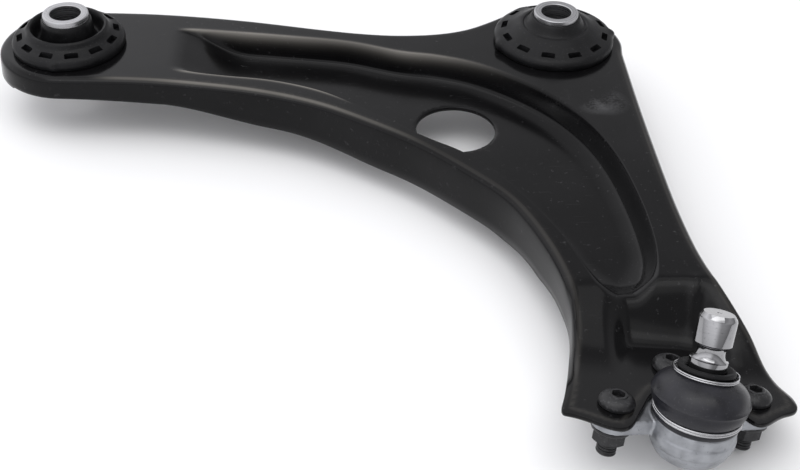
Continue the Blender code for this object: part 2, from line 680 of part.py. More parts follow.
def boot_outline():
    """(radius, height, blend) of the boot's wall: outside up, inside down.

    The blend is 0 where the boot follows the housing and 1 where it follows the stud.
    """
    outside = [(0.0184, 0.0040, 0.0), (0.0204, 0.0040, 0.0), (0.0204, 0.0066, 0.0),
               (0.0197, 0.0074, 0.0), (0.0203, 0.0084, 0.0), (0.0219, 0.0105, 0.08),
               (0.0228, 0.0130, 0.25), (0.0229, 0.0150, 0.42), (0.0222, 0.0178, 0.62),
               (0.0203, 0.0205, 0.82), (0.0172, 0.0228, 0.95), (0.0147, 0.0238, 1.0),
               (0.0142, 0.0247, 1.0)]
    inside = [(0.0125, 0.0246, 1.0), (0.0120, 0.0232, 1.0), (0.0170, 0.0212, 0.95),
              (0.0200, 0.0172, 0.6), (0.0210, 0.0145, 0.4), (0.0205, 0.0110, 0.1),
              (0.0186, 0.0100, 0.0), (0.0184, 0.0092, 0.0)]
    return outside + inside


def make_boot(finish):
    """Dust boot, bent from the housing's axis over to the stud's."""
    profile = boot_outline()
    bm = turned([(r, z) for r, z, _ in profile])
    bm.verts.ensure_lookup_table()
    for i, vert in enumerate(bm.verts):
        blend = profile[i // ROUND_STEPS][2]
        lean = (Matrix.Rotation(-STUD_LEAN * blend, 3, "X")
                @ Matrix.Rotation(STUD_SIDE_LEAN * blend, 3, "Y"))
        vert.co = lean @ vert.co
    return add_object("dust_boot", bm, finish, HOUSING_FRAME)


def ring_of_wire(major, minor, height, steps=ROUND_STEPS):
    """A closed ring of round wire."""
    section = [(major + minor * math.cos(math.radians(a)),
                height + minor * math.sin(math.radians(a))) for a in range(0, 360, 60)]
    return turned(section, steps)


def make_ball_joint(finishes):
    cast, steel, plastic = finishes["cast"], finishes["stud"], finishes["plastic"]
    make_housing(cast)
    add_object("ball_seat", turned(seat_profile()), plastic, HOUSING_FRAME)
    add_object("seat_ring", turned(seat_ring_profile()), finishes["ring"], HOUSING_FRAME)
    add_object("ball_stud", turned(stud_profile(), closed=False), steel, STUD_FRAME)
    add_object("stud_collar", turned(collar_profile()), finishes["rubber"], STUD_FRAME)
    make_boot(finishes["boot"])
    add_object("lower_clamp_ring", ring_of_wire(0.0210, 0.0009, 0.0076), finishes["ring"],
               HOUSING_FRAME)
    add_object("upper_clamp_ring", ring_of_wire(0.0152, 0.0008, 0.0252), finishes["ring"],
               STUD_FRAME)


# ---------------------------------------------------------------- fasteners
def bolt_profile():
    """Button head over a shank, bottom to top; its foot is at the thread's end."""
    under = PLATE_LEVEL + GAP
    end = EAR_TOP - EAR_THICKNESS - THREAD_REACH
    top = under + HEAD_HEIGHT
    return [(0.0, end), (BOLT_RADIUS - 0.0008, end), (BOLT_RADIUS, end + 0.0008),
            (BOLT_RADIUS, under), (HEAD_RADIUS, under), (HEAD_RADIUS, under + 0.0012),
            (0.0077, under + 0.0034), (0.0058, top - 0.0006), (0.0042, top), (0.0, top)]


def nut_profile():
    seat = EAR_TOP - EAR_THICKNESS - GAP
    foot = seat - NUT_HEIGHT
    return [(BOLT_RADIUS + GAP, foot), (BOLT_RADIUS + GAP, seat), (0.0098, seat),
            (0.0098, seat - 0.0016), (0.0082, seat - 0.0030), (0.0082, foot)]


def make_fasteners(finishes):
    """Three button-head bolts and their flange nuts."""
    hexagon = NUT_FLATS / math.sqrt(3)
    seat = EAR_TOP - EAR_THICKNESS - GAP
    head_top = PLATE_LEVEL + GAP + HEAD_HEIGHT
    for side, (x, y) in BOLT_PLACES.items():
        place = HOUSING_FRAME @ Matrix.Translation((x, y, 0.0))
        bolt = add_object(side + "_bolt", turned(bolt_profile(), 24, closed=False),
                          finishes["fastener"], place)
        socket = polygon(6, SOCKET_FLATS / math.sqrt(3), math.radians(12))
        combine(bolt, prism(socket, head_top - 0.003, head_top + 0.002), "DIFFERENCE")
        nut = add_object(side + "_nut", turned(nut_profile(), 24), finishes["fastener"], place)
        flats = prism(polygon(6, hexagon), seat - 0.02, seat - 0.0024)
        rim = prism(polygon(24, 0.0105), seat - 0.0024, seat + 0.01)
        keep = combine(nut, flats, "INTERSECT")
        combine(keep, rim, "UNION")


# ---------------------------------------------------------------- assembly
def clear_scene():
    for old in list(bpy.data.objects):
        bpy.data.objects.remove(old, do_unlink=True)


def make_finishes():
    return {
        "coating": material("black_coating", (0.012, 0.012, 0.013), 0.32, 0.0),
        "rubber": material("bush_rubber", (0.020, 0.020, 0.021), 0.62, 0.0),
        "boot": material("boot_rubber", (0.030, 0.030, 0.033), 0.45, 0.0),
        "sleeve": material("sleeve_steel", (0.55, 0.55, 0.56), 0.35, 1.0),
        "cage": material("cage_steel", (0.025, 0.025, 0.027), 0.5, 0.3),
        "cast": material("cast_aluminium", (0.50, 0.51, 0.53), 0.48, 1.0),
        "stud": material("polished_steel", (0.62, 0.62, 0.63), 0.14, 1.0),
        "plastic": material("bearing_plastic", (0.75, 0.74, 0.70), 0.4, 0.0),
        "ring": material("ring_steel", (0.70, 0.70, 0.72), 0.22, 1.0),
        "fastener": material("black_fastener", (0.018, 0.018, 0.019), 0.38, 0.4),
    }


def centre_on_origin():
    """Hang every part on one empty, moved so that the arm stands on the origin."""
    bpy.context.view_layer.update()
    shapes = bpy.context.evaluated_depsgraph_get()
    parts = [o for o in bpy.data.objects if o.type == "MESH"]
    corners = []
    for part in parts:
        if not part.hide_render:
            corners += [part.matrix_world @ v.co for v in part.evaluated_get(shapes).data.vertices]
    lowest = [min(c[axis] for c in corners) for axis in range(3)]
    highest = [max(c[axis] for c in corners) for axis in range(3)]
    frame = bpy.data.objects.new("arm_frame", None)
    bpy.context.collection.objects.link(frame)
    for part in parts:
        part.parent = frame
    frame.location = (-(lowest[0] + highest[0]) / 2, -(lowest[1] + highest[1]) / 2, -lowest[2])


def main():
    clear_scene()
    finishes = make_finishes()
    make_shell(finishes["coating"])
    make_bush("rear_bush", REAR_BUSH, rear_rubber_profile(), REAR_CAGE_FLANGE, REAR_SLOTS,
              finishes)
    make_bush("front_bush", FRONT_BUSH, front_rubber_profile(), FRONT_CAGE_FLANGE, FRONT_SLOTS,
              finishes)
    make_ball_joint(finishes)
    make_fasteners(finishes)
    centre_on_origin()


main()
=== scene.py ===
"""Control arm: the visible model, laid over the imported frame.

Laid out as a Blender add-on and run as a script. Everything is drawn in the arm's own
frame, where the rear bush's axis stands at x = y = 0, the front bush lies along +X and
the ball joint lies towards -Y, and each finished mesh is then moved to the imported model.
"""

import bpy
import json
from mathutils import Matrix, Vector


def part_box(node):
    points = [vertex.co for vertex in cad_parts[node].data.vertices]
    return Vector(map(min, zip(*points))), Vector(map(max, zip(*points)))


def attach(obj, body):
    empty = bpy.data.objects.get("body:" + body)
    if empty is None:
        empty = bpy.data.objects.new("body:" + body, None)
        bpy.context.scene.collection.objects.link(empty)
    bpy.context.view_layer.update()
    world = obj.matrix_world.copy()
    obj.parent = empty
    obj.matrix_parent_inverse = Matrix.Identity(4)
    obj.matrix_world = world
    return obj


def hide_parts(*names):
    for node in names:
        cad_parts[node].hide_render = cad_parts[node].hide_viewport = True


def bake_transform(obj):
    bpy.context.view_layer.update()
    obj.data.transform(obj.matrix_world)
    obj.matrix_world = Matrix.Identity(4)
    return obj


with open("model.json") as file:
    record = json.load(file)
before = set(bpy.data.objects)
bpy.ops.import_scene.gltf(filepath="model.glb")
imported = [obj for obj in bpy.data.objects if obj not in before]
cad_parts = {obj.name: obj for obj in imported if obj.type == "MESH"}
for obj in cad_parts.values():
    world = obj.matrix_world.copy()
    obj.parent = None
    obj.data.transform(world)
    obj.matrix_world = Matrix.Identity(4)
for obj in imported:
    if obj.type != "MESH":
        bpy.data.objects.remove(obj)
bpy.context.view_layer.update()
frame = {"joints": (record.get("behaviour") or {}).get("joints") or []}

import json
import math

import bmesh
import bpy
import numpy as np
from bpy.props import FloatProperty, FloatVectorProperty, PointerProperty
from bpy.types import Operator, Panel, PropertyGroup
from mathutils import Matrix, Vector
from mathutils.geometry import delaunay_2d_cdt

bl_info = {
    "name": "Suspension Control Arm",
    "version": (1, 0, 0),
    "blender": (4, 5, 0),
    "location": "View3D > Sidebar > Control Arm",
    "description": "Builds a pressed control arm with its bushes, ball joint and bolts",
    "category": "Add Mesh",
}

# ---------------------------------------------------------------- places and sizes
SLEEVE_TOP = 0.065             # bush sleeve's upper end, in the arm's frame
FACE_Z = 0.043                 # top of the shell round the bushes
rear_low, rear_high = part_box("rear_bush_sleeve")
front_low, front_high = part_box("front_bush_sleeve")
ARM = Vector(((rear_low.x + rear_high.x) / 2, (rear_low.y + rear_high.y) / 2,
              rear_high.z - SLEEVE_TOP))
REAR_BUSH = np.array((0.0, 0.0))
FRONT_BUSH = np.array(((front_low.x + front_high.x) / 2 - ARM.x, 0.0))
SLEEVE_FOOT = rear_low.z - ARM.z
SLEEVE_MIDDLE = (SLEEVE_FOOT + SLEEVE_TOP) / 2
SLEEVE_BORE = 0.0096
SLEEVE_RADIUS = (rear_high.x - rear_low.x) / 2
SPIN = next(joint for joint in frame["joints"] if joint["name"] == "stud_spin")
BALL = Vector(SPIN["pos_m"]) - ARM

SHEET = 0.0028
EDGE_RADIUS = 0.0055           # outside radius where the sheet turns down
LIP_BULGE = 0.0005             # how far a cut edge is rounded out
COLLAR_BORE = 0.0298
COLLAR_EDGE = 0.0036
COLLAR_DEPTH = 0.0045
HOLE_PLACE = (0.2428, -0.0760)
HOLE_RADIUS = 0.0242
RECESS_DEPTH = 0.017
RECESS_WALL = 0.0050
RECESS_FOOT = 0.0150
WALL_SHARE = 0.72

JOINT_LEAN = math.radians(12)
JOINT_SIDE_LEAN = math.radians(6)
STUD_LEAN = math.radians(13)
STUD_SIDE_LEAN = math.radians(3.6)
PLATE_LEVEL = 0.0050
CUTOUT_RADIUS = 0.0236
BOLT_PLACES = {"left": (-0.0373, 0.0038), "right": (0.0324, 0.0160), "rear": (-0.0030, 0.0391)}
BOLT_RADIUS = 0.0049
BOLT_HOLE = 0.0053
EAR_TOP = PLATE_LEVEL - SHEET - 0.0003
EAR_THICKNESS = 0.0075
EAR_RADIUS = 0.0105

HOUSING = (Matrix.Translation(BALL) @ Matrix.Rotation(-JOINT_LEAN, 4, "X")
           @ Matrix.Rotation(JOINT_SIDE_LEAN, 4, "Y"))
STUD = (HOUSING @ Matrix.Rotation(-STUD_LEAN, 4, "X")
        @ Matrix.Rotation(STUD_SIDE_LEAN, 4, "Y"))
PLATE_POINT = HOUSING @ Vector((0.0, 0.0, PLATE_LEVEL))
PLATE_NORMAL = HOUSING.col[2].xyz

# Outline of the shell, seen from above, as the points its curves run through.
SOUTH_EDGE = [(0.0000, -0.0445), (0.0500, -0.0470), (0.0950, -0.0545), (0.1280, -0.0630),
              (0.1590, -0.0760), (0.1900, -0.0965), (0.2150, -0.1160), (0.2400, -0.1420),
              (0.2590, -0.1650), (0.2700, -0.1880), (0.2790, -0.2180), (0.2833, -0.2450),
              (0.2838, -0.2620), (0.2811, -0.2788), (0.2738, -0.3087), (0.2692, -0.3235)]
EAST_EDGE = [(0.3868, -0.3090), (0.3856, -0.2980), (0.3838, -0.2860), (0.3785, -0.2690),
             (0.3710, -0.2550), (0.3642, -0.2400), (0.3595, -0.2180), (0.3570, -0.1880),
             (0.3560, -0.1500), (0.3560, -0.0800), (0.3573, -0.0100)]
NORTH_EDGE = [(0.2838, 0.0375), (0.2710, 0.0280), (0.2560, 0.0190), (0.2370, 0.0135),
              (0.2120, 0.0120), (0.1880, 0.0145), (0.1610, 0.0200), (0.1080, 0.0325),
              (0.0550, 0.0410), (0.0040, 0.0443)]
# The plate's free edges either side of the ball joint, in the plane of the plate.
FRONT_LEFT_EDGE = [(-0.0655, -0.0056), (-0.0618, -0.0056), (-0.0566, -0.0072),
                   (-0.0515, -0.0097), (-0.0462, -0.0130), (-0.0415, -0.0147),
                   (-0.0369, -0.0150), (-0.0330, -0.0115), (-0.0300, -0.0065),
                   (-0.0262, 0.0010)]
FRONT_RIGHT_EDGE = [(0.0260, -0.0034), (0.0300, -0.0046), (0.0340, -0.0028), (0.0400, 0.0022),
                    (0.0450, 0.0056), (0.0497, 0.0076), (0.0532, 0.0108)]
REAR_END_RADIUS = 0.0445
FRONT_END_RADIUS = 0.0465

# Top edge of the recess's wall: up the far side, round the neck and back.
RECESS_EDGE = [(0.0560, 0.0175), (0.0760, 0.0172), (0.1000, 0.0140), (0.1350, 0.0085), (0.1780, 0.0005),
               (0.2110, -0.0120), (0.2350, -0.0175), (0.2590, -0.0270), (0.2820, -0.0435),
               (0.3020, -0.0640), (0.3160, -0.0850), (0.3260, -0.1080), (0.3325, -0.1350),
               (0.3360, -0.1650), (0.3372, -0.1900), (0.3362, -0.2150), (0.3320, -0.2370),
               (0.3240, -0.2500), (0.3120, -0.2515), (0.3040, -0.2485), (0.2985, -0.2400),
               (0.2966, -0.2324), (0.2918, -0.2143), (0.2865, -0.1975), (0.2783, -0.1790),
               (0.2673, -0.1580), (0.2553, -0.1388), (0.2400, -0.1230), (0.2205, -0.1083),
               (0.1922, -0.0835), (0.1625, -0.0598), (0.1320, -0.0465), (0.1010, -0.0403),
               (0.0822, -0.0363), (0.0640, -0.0310), (0.0560, -0.0240)]
RECESS_START = 0.062
RECESS_FULL = 0.118
RECESS_END = -0.2580
RECESS_END_FADE = 0.035
NECK_START = -0.2360
NECK_END = -0.2690
NECK_SIDE_END = -0.2960
NECK_HALF_WIDTH = 0.018
NECK_SIDE_WIDTH = 0.016
# Ribs that run down the neck: start, end, half width and height.
NECK_RIBS = [((0.2872, -0.2350), (0.2840, -0.2860), 0.0024, 0.0022),
             ((0.3520, -0.2330), (0.3450, -0.2740), 0.0050, 0.0016)]

FAR_FLANGE_HEIGHT = 0.0145
NEAR_FLANGE_FOOT = [(-1.0, 0.0295), (0.0, 0.0295), (0.06, 0.0275), (0.13, 0.0190),
                    (0.20, 0.0135), (0.26, 0.0140), (0.275, 0.0180), (0.285, 0.0240),
                    (1.0, 0.0240)]
FLANGE_TIP_ANGLE = math.radians(24)
FLANGE_TIP_Y = -0.3160
FLANGE_FADE = 0.060


# ---------------------------------------------------------------- settings
class ArmSizes(PropertyGroup):
    """How finely the surfaces are laid out."""
    shell_step: FloatProperty(
        name="Shell Step", description="Spacing of the pressed shell's surface points",
        default=0.0021, min=0.001, max=0.01, subtype="DISTANCE", unit="LENGTH")
    cast_voxel: FloatProperty(
        name="Casting Step", description="Finest feature of the cast housing's surface",
        default=0.00055, min=0.0003, max=0.002, subtype="DISTANCE", unit="LENGTH")


class ArmColours(PropertyGroup):
    """The colours of the arm's finishes."""
    coating: FloatVectorProperty(
        name="Coating", description="Black dip coating on the pressed steel",
        default=(0.0034, 0.0033, 0.0036), size=3, min=0.0, max=1.0, subtype="COLOR")
    # Pale colour painted along the coating's bends and the recess's rim: a painted highlight.
    painted_highlight: FloatVectorProperty(
        name="Painted Edge Highlight", description="Pale highlight painted along the coating's bends",
        default=(0.33, 0.31, 0.28), size=3, min=0.0, max=1.0, subtype="COLOR")
    dust: FloatVectorProperty(
        name="Dust", description="Pale film left by handling",
        default=(0.30, 0.30, 0.31), size=3, min=0.0, max=1.0, subtype="COLOR")
    rubber: FloatVectorProperty(
        name="Bush Rubber", description="Moulded rubber of the bushes",
        default=(0.0045, 0.0045, 0.0050), size=3, min=0.0, max=1.0, subtype="COLOR")
    boot: FloatVectorProperty(
        name="Boot Rubber", description="Smooth rubber of the dust boot",
        default=(0.011, 0.011, 0.014), size=3, min=0.0, max=1.0, subtype="COLOR")
    casting: FloatVectorProperty(
        name="Casting", description="Aluminium of the ball joint housing",
        default=(0.33, 0.34, 0.36), size=3, min=0.0, max=1.0, subtype="COLOR")
    steel: FloatVectorProperty(
        name="Bright Steel", description="Ground steel of the stud and the rings",
        default=(0.42, 0.42, 0.43), size=3, min=0.0, max=1.0, subtype="COLOR")


class StudioSettings(PropertyGroup):
    """Camera and lights."""
    lens: FloatProperty(
        name="Lens", description="Focal length of the camera in millimetres",
        default=57.15, min=10.0, max=300.0, subtype="DISTANCE_CAMERA", unit="CAMERA")
    strip_power: FloatProperty(
        name="Overhead Strip", description="Power of the long softbox above the arm",
        default=1.6, min=0.0, subtype="POWER", unit="POWER")
    floor_power: FloatProperty(
        name="Floor Wash", description="Power of the wide light over the floor",
        default=24.0, min=0.0, subtype="POWER", unit="POWER")


def sizes():
    """The mesh sizes set in the panel."""
    return bpy.context.scene.arm_sizes


def colours():
    """The colours set in the panel."""
    return bpy.context.scene.arm_colours


# ---------------------------------------------------------------- curves in the plan
def smooth(value):
    """Ease from 0 to 1 as value goes from 0 to 1."""
    value = np.clip(value, 0.0, 1.0)
    return value * value * (3.0 - 2.0 * value)


def spline(points, spacing):
    """Points along a smooth curve through the given ones, about spacing apart."""
    points = np.array(points, float)
    ends = np.vstack((2 * points[0] - points[1], points, 2 * points[-1] - points[-2]))
    path = []
    for a, b, c, d in zip(ends, ends[1:], ends[2:], ends[3:]):
        steps = max(1, round(np.linalg.norm(c - b) / spacing))
        for step in range(steps):
            t = step / steps
            path.append(0.5 * ((2 * b) + (c - a) * t + (2 * a - 5 * b + 4 * c - d) * t ** 2
                               + (3 * b - a - 3 * c + d) * t ** 3))
    path.append(points[-1])
    return np.array(path)


def arc(centre, radius, start, end, steps):
    """Points on an arc, from one angle to another in degrees."""
    angles = np.radians(np.linspace(start, end, steps + 1))
    return np.column_stack((centre[0] + radius * np.cos(angles),
                            centre[1] + radius * np.sin(angles)))


def resample(loop, spacing):
    """The same closed loop with evenly spaced points."""
    closed = np.vstack((loop, loop[:1]))
    run = np.concatenate(([0.0], np.cumsum(np.linalg.norm(np.diff(closed, axis=0), axis=1))))
    marks = np.linspace(0.0, run[-1], round(run[-1] / spacing), endpoint=False)
    return np.column_stack([np.interp(marks, run, closed[:, axis]) for axis in (0, 1)])


def inset_in(points, loop):
    """Distance from each plan point to a closed loop, positive inside it."""
    result = np.empty(len(points))
    start, side = loop, np.roll(loop, -1, axis=0) - loop
    for first in range(0, len(points), 4000):
        part = points[first:first + 4000, None, :]
        along = np.clip(((part - start) * side).sum(2) / (side ** 2).sum(1), 0.0, 1.0)
        away = np.linalg.norm(part - start - along[..., None] * side, axis=2).min(1)
        above = start[:, 1] > part[..., 1]
        crosses = above != np.roll(above, -1, axis=1)
        steep = np.where(side[:, 1] == 0.0, 1e-12, side[:, 1])
        reach = start[:, 0] + (part[..., 1] - start[:, 1]) * side[:, 0] / steep
        inside = (crosses & (part[..., 0] < reach)).sum(1) % 2 == 1
        result[first:first + 4000] = np.where(inside, away, -away)
    return result


def outward_normals(loop):
    """Unit normals of an anticlockwise loop, pointing out of it."""
    ahead = np.roll(loop, -1, axis=0) - loop
    behind = loop - np.roll(loop, 1, axis=0)
    tangent = (ahead / np.linalg.norm(ahead, axis=1)[:, None]
               + behind / np.linalg.norm(behind, axis=1)[:, None])
    for _ in range(3):
        tangent = np.roll(tangent, 1, axis=0) + 2 * tangent + np.roll(tangent, -1, axis=0)
        tangent /= np.linalg.norm(tangent, axis=1)[:, None]
    return np.column_stack((tangent[:, 1], -tangent[:, 0]))


# ---------------------------------------------------------------- the pressed surface
def plate_height(points):
    """Height of the ball joint plate's plane at plan points."""
    away = points - np.array(PLATE_POINT.xy)
    return PLATE_POINT.z - away @ np.array(PLATE_NORMAL.xy) / PLATE_NORMAL.z


def on_plate(points):
    """Plan points of places given in the plane of the plate."""
    return [(HOUSING @ Vector((p[0], p[1], PLATE_LEVEL))).xy[:] for p in points]


def recess_fall(inset):
    """Share of the recess's depth that is reached this far inside its edge."""
    foot = 1.0 - np.clip(inset / RECESS_FOOT, 0.0, 1.0)
    return WALL_SHARE * smooth(inset / RECESS_WALL) + (1.0 - WALL_SHARE) * (1.0 - foot ** 2)


def rib_height(points, start, end, half_width, height):
    """A long low bump between two plan points, fading out at both ends."""
    start, side = np.array(start), np.array(end) - np.array(start)
    along = (points - start) @ side / (side @ side)
    across = np.abs((points - start) @ np.array((side[1], -side[0]))) / np.linalg.norm(side)
    fade = smooth(along / 0.35) * smooth((1.0 - along) / 0.45)
    return height * fade * smooth(1.0 - across / half_width)


def surface_height(points, recess, under=False):
    """Height of the shell's upper face, or of its underside, at plan points."""
    ramp = np.clip((points[:, 0] - RECESS_START) / (RECESS_FULL - RECESS_START), 0.0, 1.0)
    depth = RECESS_DEPTH * ramp ** 3 * (10.0 - 15.0 * ramp + 6.0 * ramp ** 2)
    depth = depth * smooth((points[:, 1] - RECESS_END) / RECESS_END_FADE)
    shift = SHEET * 0.8 if under else 0.0
    gentler = 1.0 - 0.62 * smooth((NECK_START + 0.034 - points[:, 1]) / 0.036)
    pressed = FACE_Z - depth * recess_fall(inset_in(points, recess) * gentler + shift)
    to_side = smooth((np.abs(points[:, 0] - PLATE_POINT.x) - NECK_HALF_WIDTH) / NECK_SIDE_WIDTH)
    neck_end = NECK_END + (NECK_SIDE_END - NECK_END) * to_side
    drop = smooth((NECK_START - points[:, 1]) / (NECK_START - neck_end))
    face = pressed + (plate_height(points) - pressed) * drop
    for rib in NECK_RIBS:
        face = face + rib_height(points, *rib)
    return face - SHEET if under else face


def flange_height(point, crown):
    """How far the flange reaches below the face at a point of the outline."""
    fade = float(smooth((point[1] - FLANGE_TIP_Y) / FLANGE_FADE))
    if point[1] > -0.03 or point[0] > 0.30:
        return max(FAR_FLANGE_HEIGHT * fade, 0.001)
    for (x0, z0), (x1, z1) in zip(NEAR_FLANGE_FOOT, NEAR_FLANGE_FOOT[1:]):
        if x0 <= point[0] <= x1:
            foot = z0 + (z1 - z0) * float(smooth((point[0] - x0) / (x1 - x0)))
    return max((crown - foot) * fade, 0.001)


def shell_outline(step):
    """Closed outline, anticlockwise, and the angle each point's edge turns down by."""
    runs = [
        (spline(SOUTH_EDGE, step), True),
        (spline(on_plate(FRONT_LEFT_EDGE), step * 0.6), False),
        (np.array(on_plate(arc((0.0, 0.0), CUTOUT_RADIUS, 163, 4, 44))), False),
        (spline(on_plate(FRONT_RIGHT_EDGE), step * 0.6), False),
        (spline(EAST_EDGE, step), True),
        (arc(FRONT_BUSH, FRONT_END_RADIUS, -8, 125, 50)[1:-1], True),
        (spline(NORTH_EDGE, step), True),
        (arc(REAR_BUSH, REAR_END_RADIUS, 85, 270, 66)[1:-1], True),
    ]
    outline = np.vstack([points for points, _ in runs])
    flanged = np.concatenate([np.full(len(points), kind) for points, kind in runs])
    fade = smooth((outline[:, 1] - FLANGE_TIP_Y) / FLANGE_FADE)
    turns = (FLANGE_TIP_ANGLE + (math.pi / 2 - FLANGE_TIP_ANGLE) * fade) * flanged
    for _ in range(4):
        outline = (np.roll(outline, 1, axis=0) + 2 * outline + np.roll(outline, -1, axis=0)) / 4
    for _ in range(6):
        turns = (np.roll(turns, 1) + 2 * turns + np.roll(turns, -1)) / 4
    return outline, turns


def edge_profile(turn, height):
    """(inset, drop, angle) of a turned-down edge, from its lip to the flat face."""
    straight = max(height - EDGE_RADIUS * (1 - math.cos(turn)), 0.0008) if turn > 0.3 else 0.0008
    points = []
    for share in (1.0, 0.75, 0.5, 0.25):
        extra = straight * share
        points.append((EDGE_RADIUS * math.sin(turn) + extra * math.cos(turn),
                       EDGE_RADIUS * (1 - math.cos(turn)) + extra * math.sin(turn), turn))
    for step in range(8, -1, -1):
        angle = turn * step / 8
        points.append((EDGE_RADIUS * math.sin(angle), EDGE_RADIUS * (1 - math.cos(angle)), angle))
    widest = points[0][0]
    least = [0.00012 * i for i in range(len(points))]
    return [(max(widest - out, gap), down, angle) for (out, down, angle), gap
            in zip(points, least)]


def edge_rings(step, recess):
    """Rings of (place, surface normal) that follow the outline, from the lip inwards."""
    outline, turns = shell_outline(step)
    normals = outward_normals(outline)
    crowns = surface_height(outline - normals * EDGE_RADIUS, recess)
    profiles = np.array([edge_profile(turn, flange_height(point, crown))
                         for point, turn, crown in zip(outline, turns, crowns)])
    rings = []
    for row in range(profiles.shape[1]):
        inset, drop, angle = profiles[:, row].T
        plan = outline - normals * inset[:, None]
        place = np.column_stack((plan, surface_height(plan, recess) - drop))
        facing = np.column_stack((normals * np.sin(angle)[:, None], np.cos(angle)))
        rings.append((place, facing))
    lip_angle = profiles[:, 0, 2]
    lip_way = np.column_stack((normals * np.cos(lip_angle)[:, None], -np.sin(lip_angle)))
    return rings, lip_way


def collar_rings(centre):
    """The same for a bush hole, whose edge turns down into a collar."""
    around = arc((0.0, 0.0), 1.0, 0, 360, 120)[:-1]
    inwards = np.column_stack((-around, np.zeros(len(around))))
    rings = []
    for low, angle in [(COLLAR_DEPTH, 90), (COLLAR_DEPTH / 2, 90)] + [(0, a) for a in
                                                                      range(90, -1, -15)]:
        turn = math.radians(angle)
        radius = COLLAR_BORE + COLLAR_EDGE * (1 - math.sin(turn))
        height = FACE_Z - COLLAR_EDGE * (1 - math.cos(turn)) - low
        place = np.column_stack((centre + around * radius, np.full(len(around), height)))
        rings.append((place, inwards * math.sin(turn) + np.array((0, 0, math.cos(turn)))))
    return rings, np.tile((0.0, 0.0, -1.0), (len(around), 1))


def hole_rings(centre, radius, steps, recess):
    """The same for a plain punched hole."""
    around = arc((0.0, 0.0), 1.0, 0, 360, steps)[:-1]
    plan = np.array(centre) + around * (radius + LIP_BULGE)
    place = np.column_stack((plan, surface_height(plan, recess)))
    up = np.tile((0.0, 0.0, 1.0), (steps, 1))
    return [(place, up)], np.column_stack((-around, np.zeros(steps)))


def thinned(points, least):
    """The points, without those that share a small square with an earlier one."""
    _, first = np.unique(np.round(points / least).astype(int), axis=0, return_index=True)
    return points[np.sort(first)]


def inner_plan_points(rim, holes, recess, step):
    """Plan points that carry the recess's walls, the neck and the flat faces."""
    around = resample(recess, step * 0.85)
    normals = outward_normals(around)
    gaps = np.array([-2.6, -2.0, -1.4, -0.9, -0.4, 0.0, 0.35, 0.7, 1.05, 1.4, 1.8, 2.2, 2.6,
                     3.0, 3.5, 4.0, 4.6, 5.4, 6.4, 7.8, 9.4, 11.2, 13.0, 15.0]) / 1000
    walls = []
    for gap in gaps:
        ring = around - normals * gap
        walls.append(ring[np.abs(inset_in(ring, recess) - gap) < 0.00012])
    low, high = rim.min(0), rim.max(0)
    columns = np.arange(low[0], high[0], step)
    coarse = np.arange(NECK_START + 0.01, high[1], step)
    fine = np.arange(low[1], NECK_START + 0.01, step * 0.7)
    grid = np.array([(x + (step / 2 if i % 2 else 0.0), y)
                     for i, y in enumerate(np.concatenate((fine, coarse))) for x in columns])
    depth = inset_in(grid, recess)
    grid = grid[(depth < gaps[0] - step * 0.5) | (depth > gaps[-1] + step * 0.5)]
    points = np.vstack(walls + [grid])
    points = points[inset_in(points, rim) > step * 0.45]
    for hole in holes:
        points = points[inset_in(points, hole) < -step * 0.45]
    return thinned(points, 0.00015)


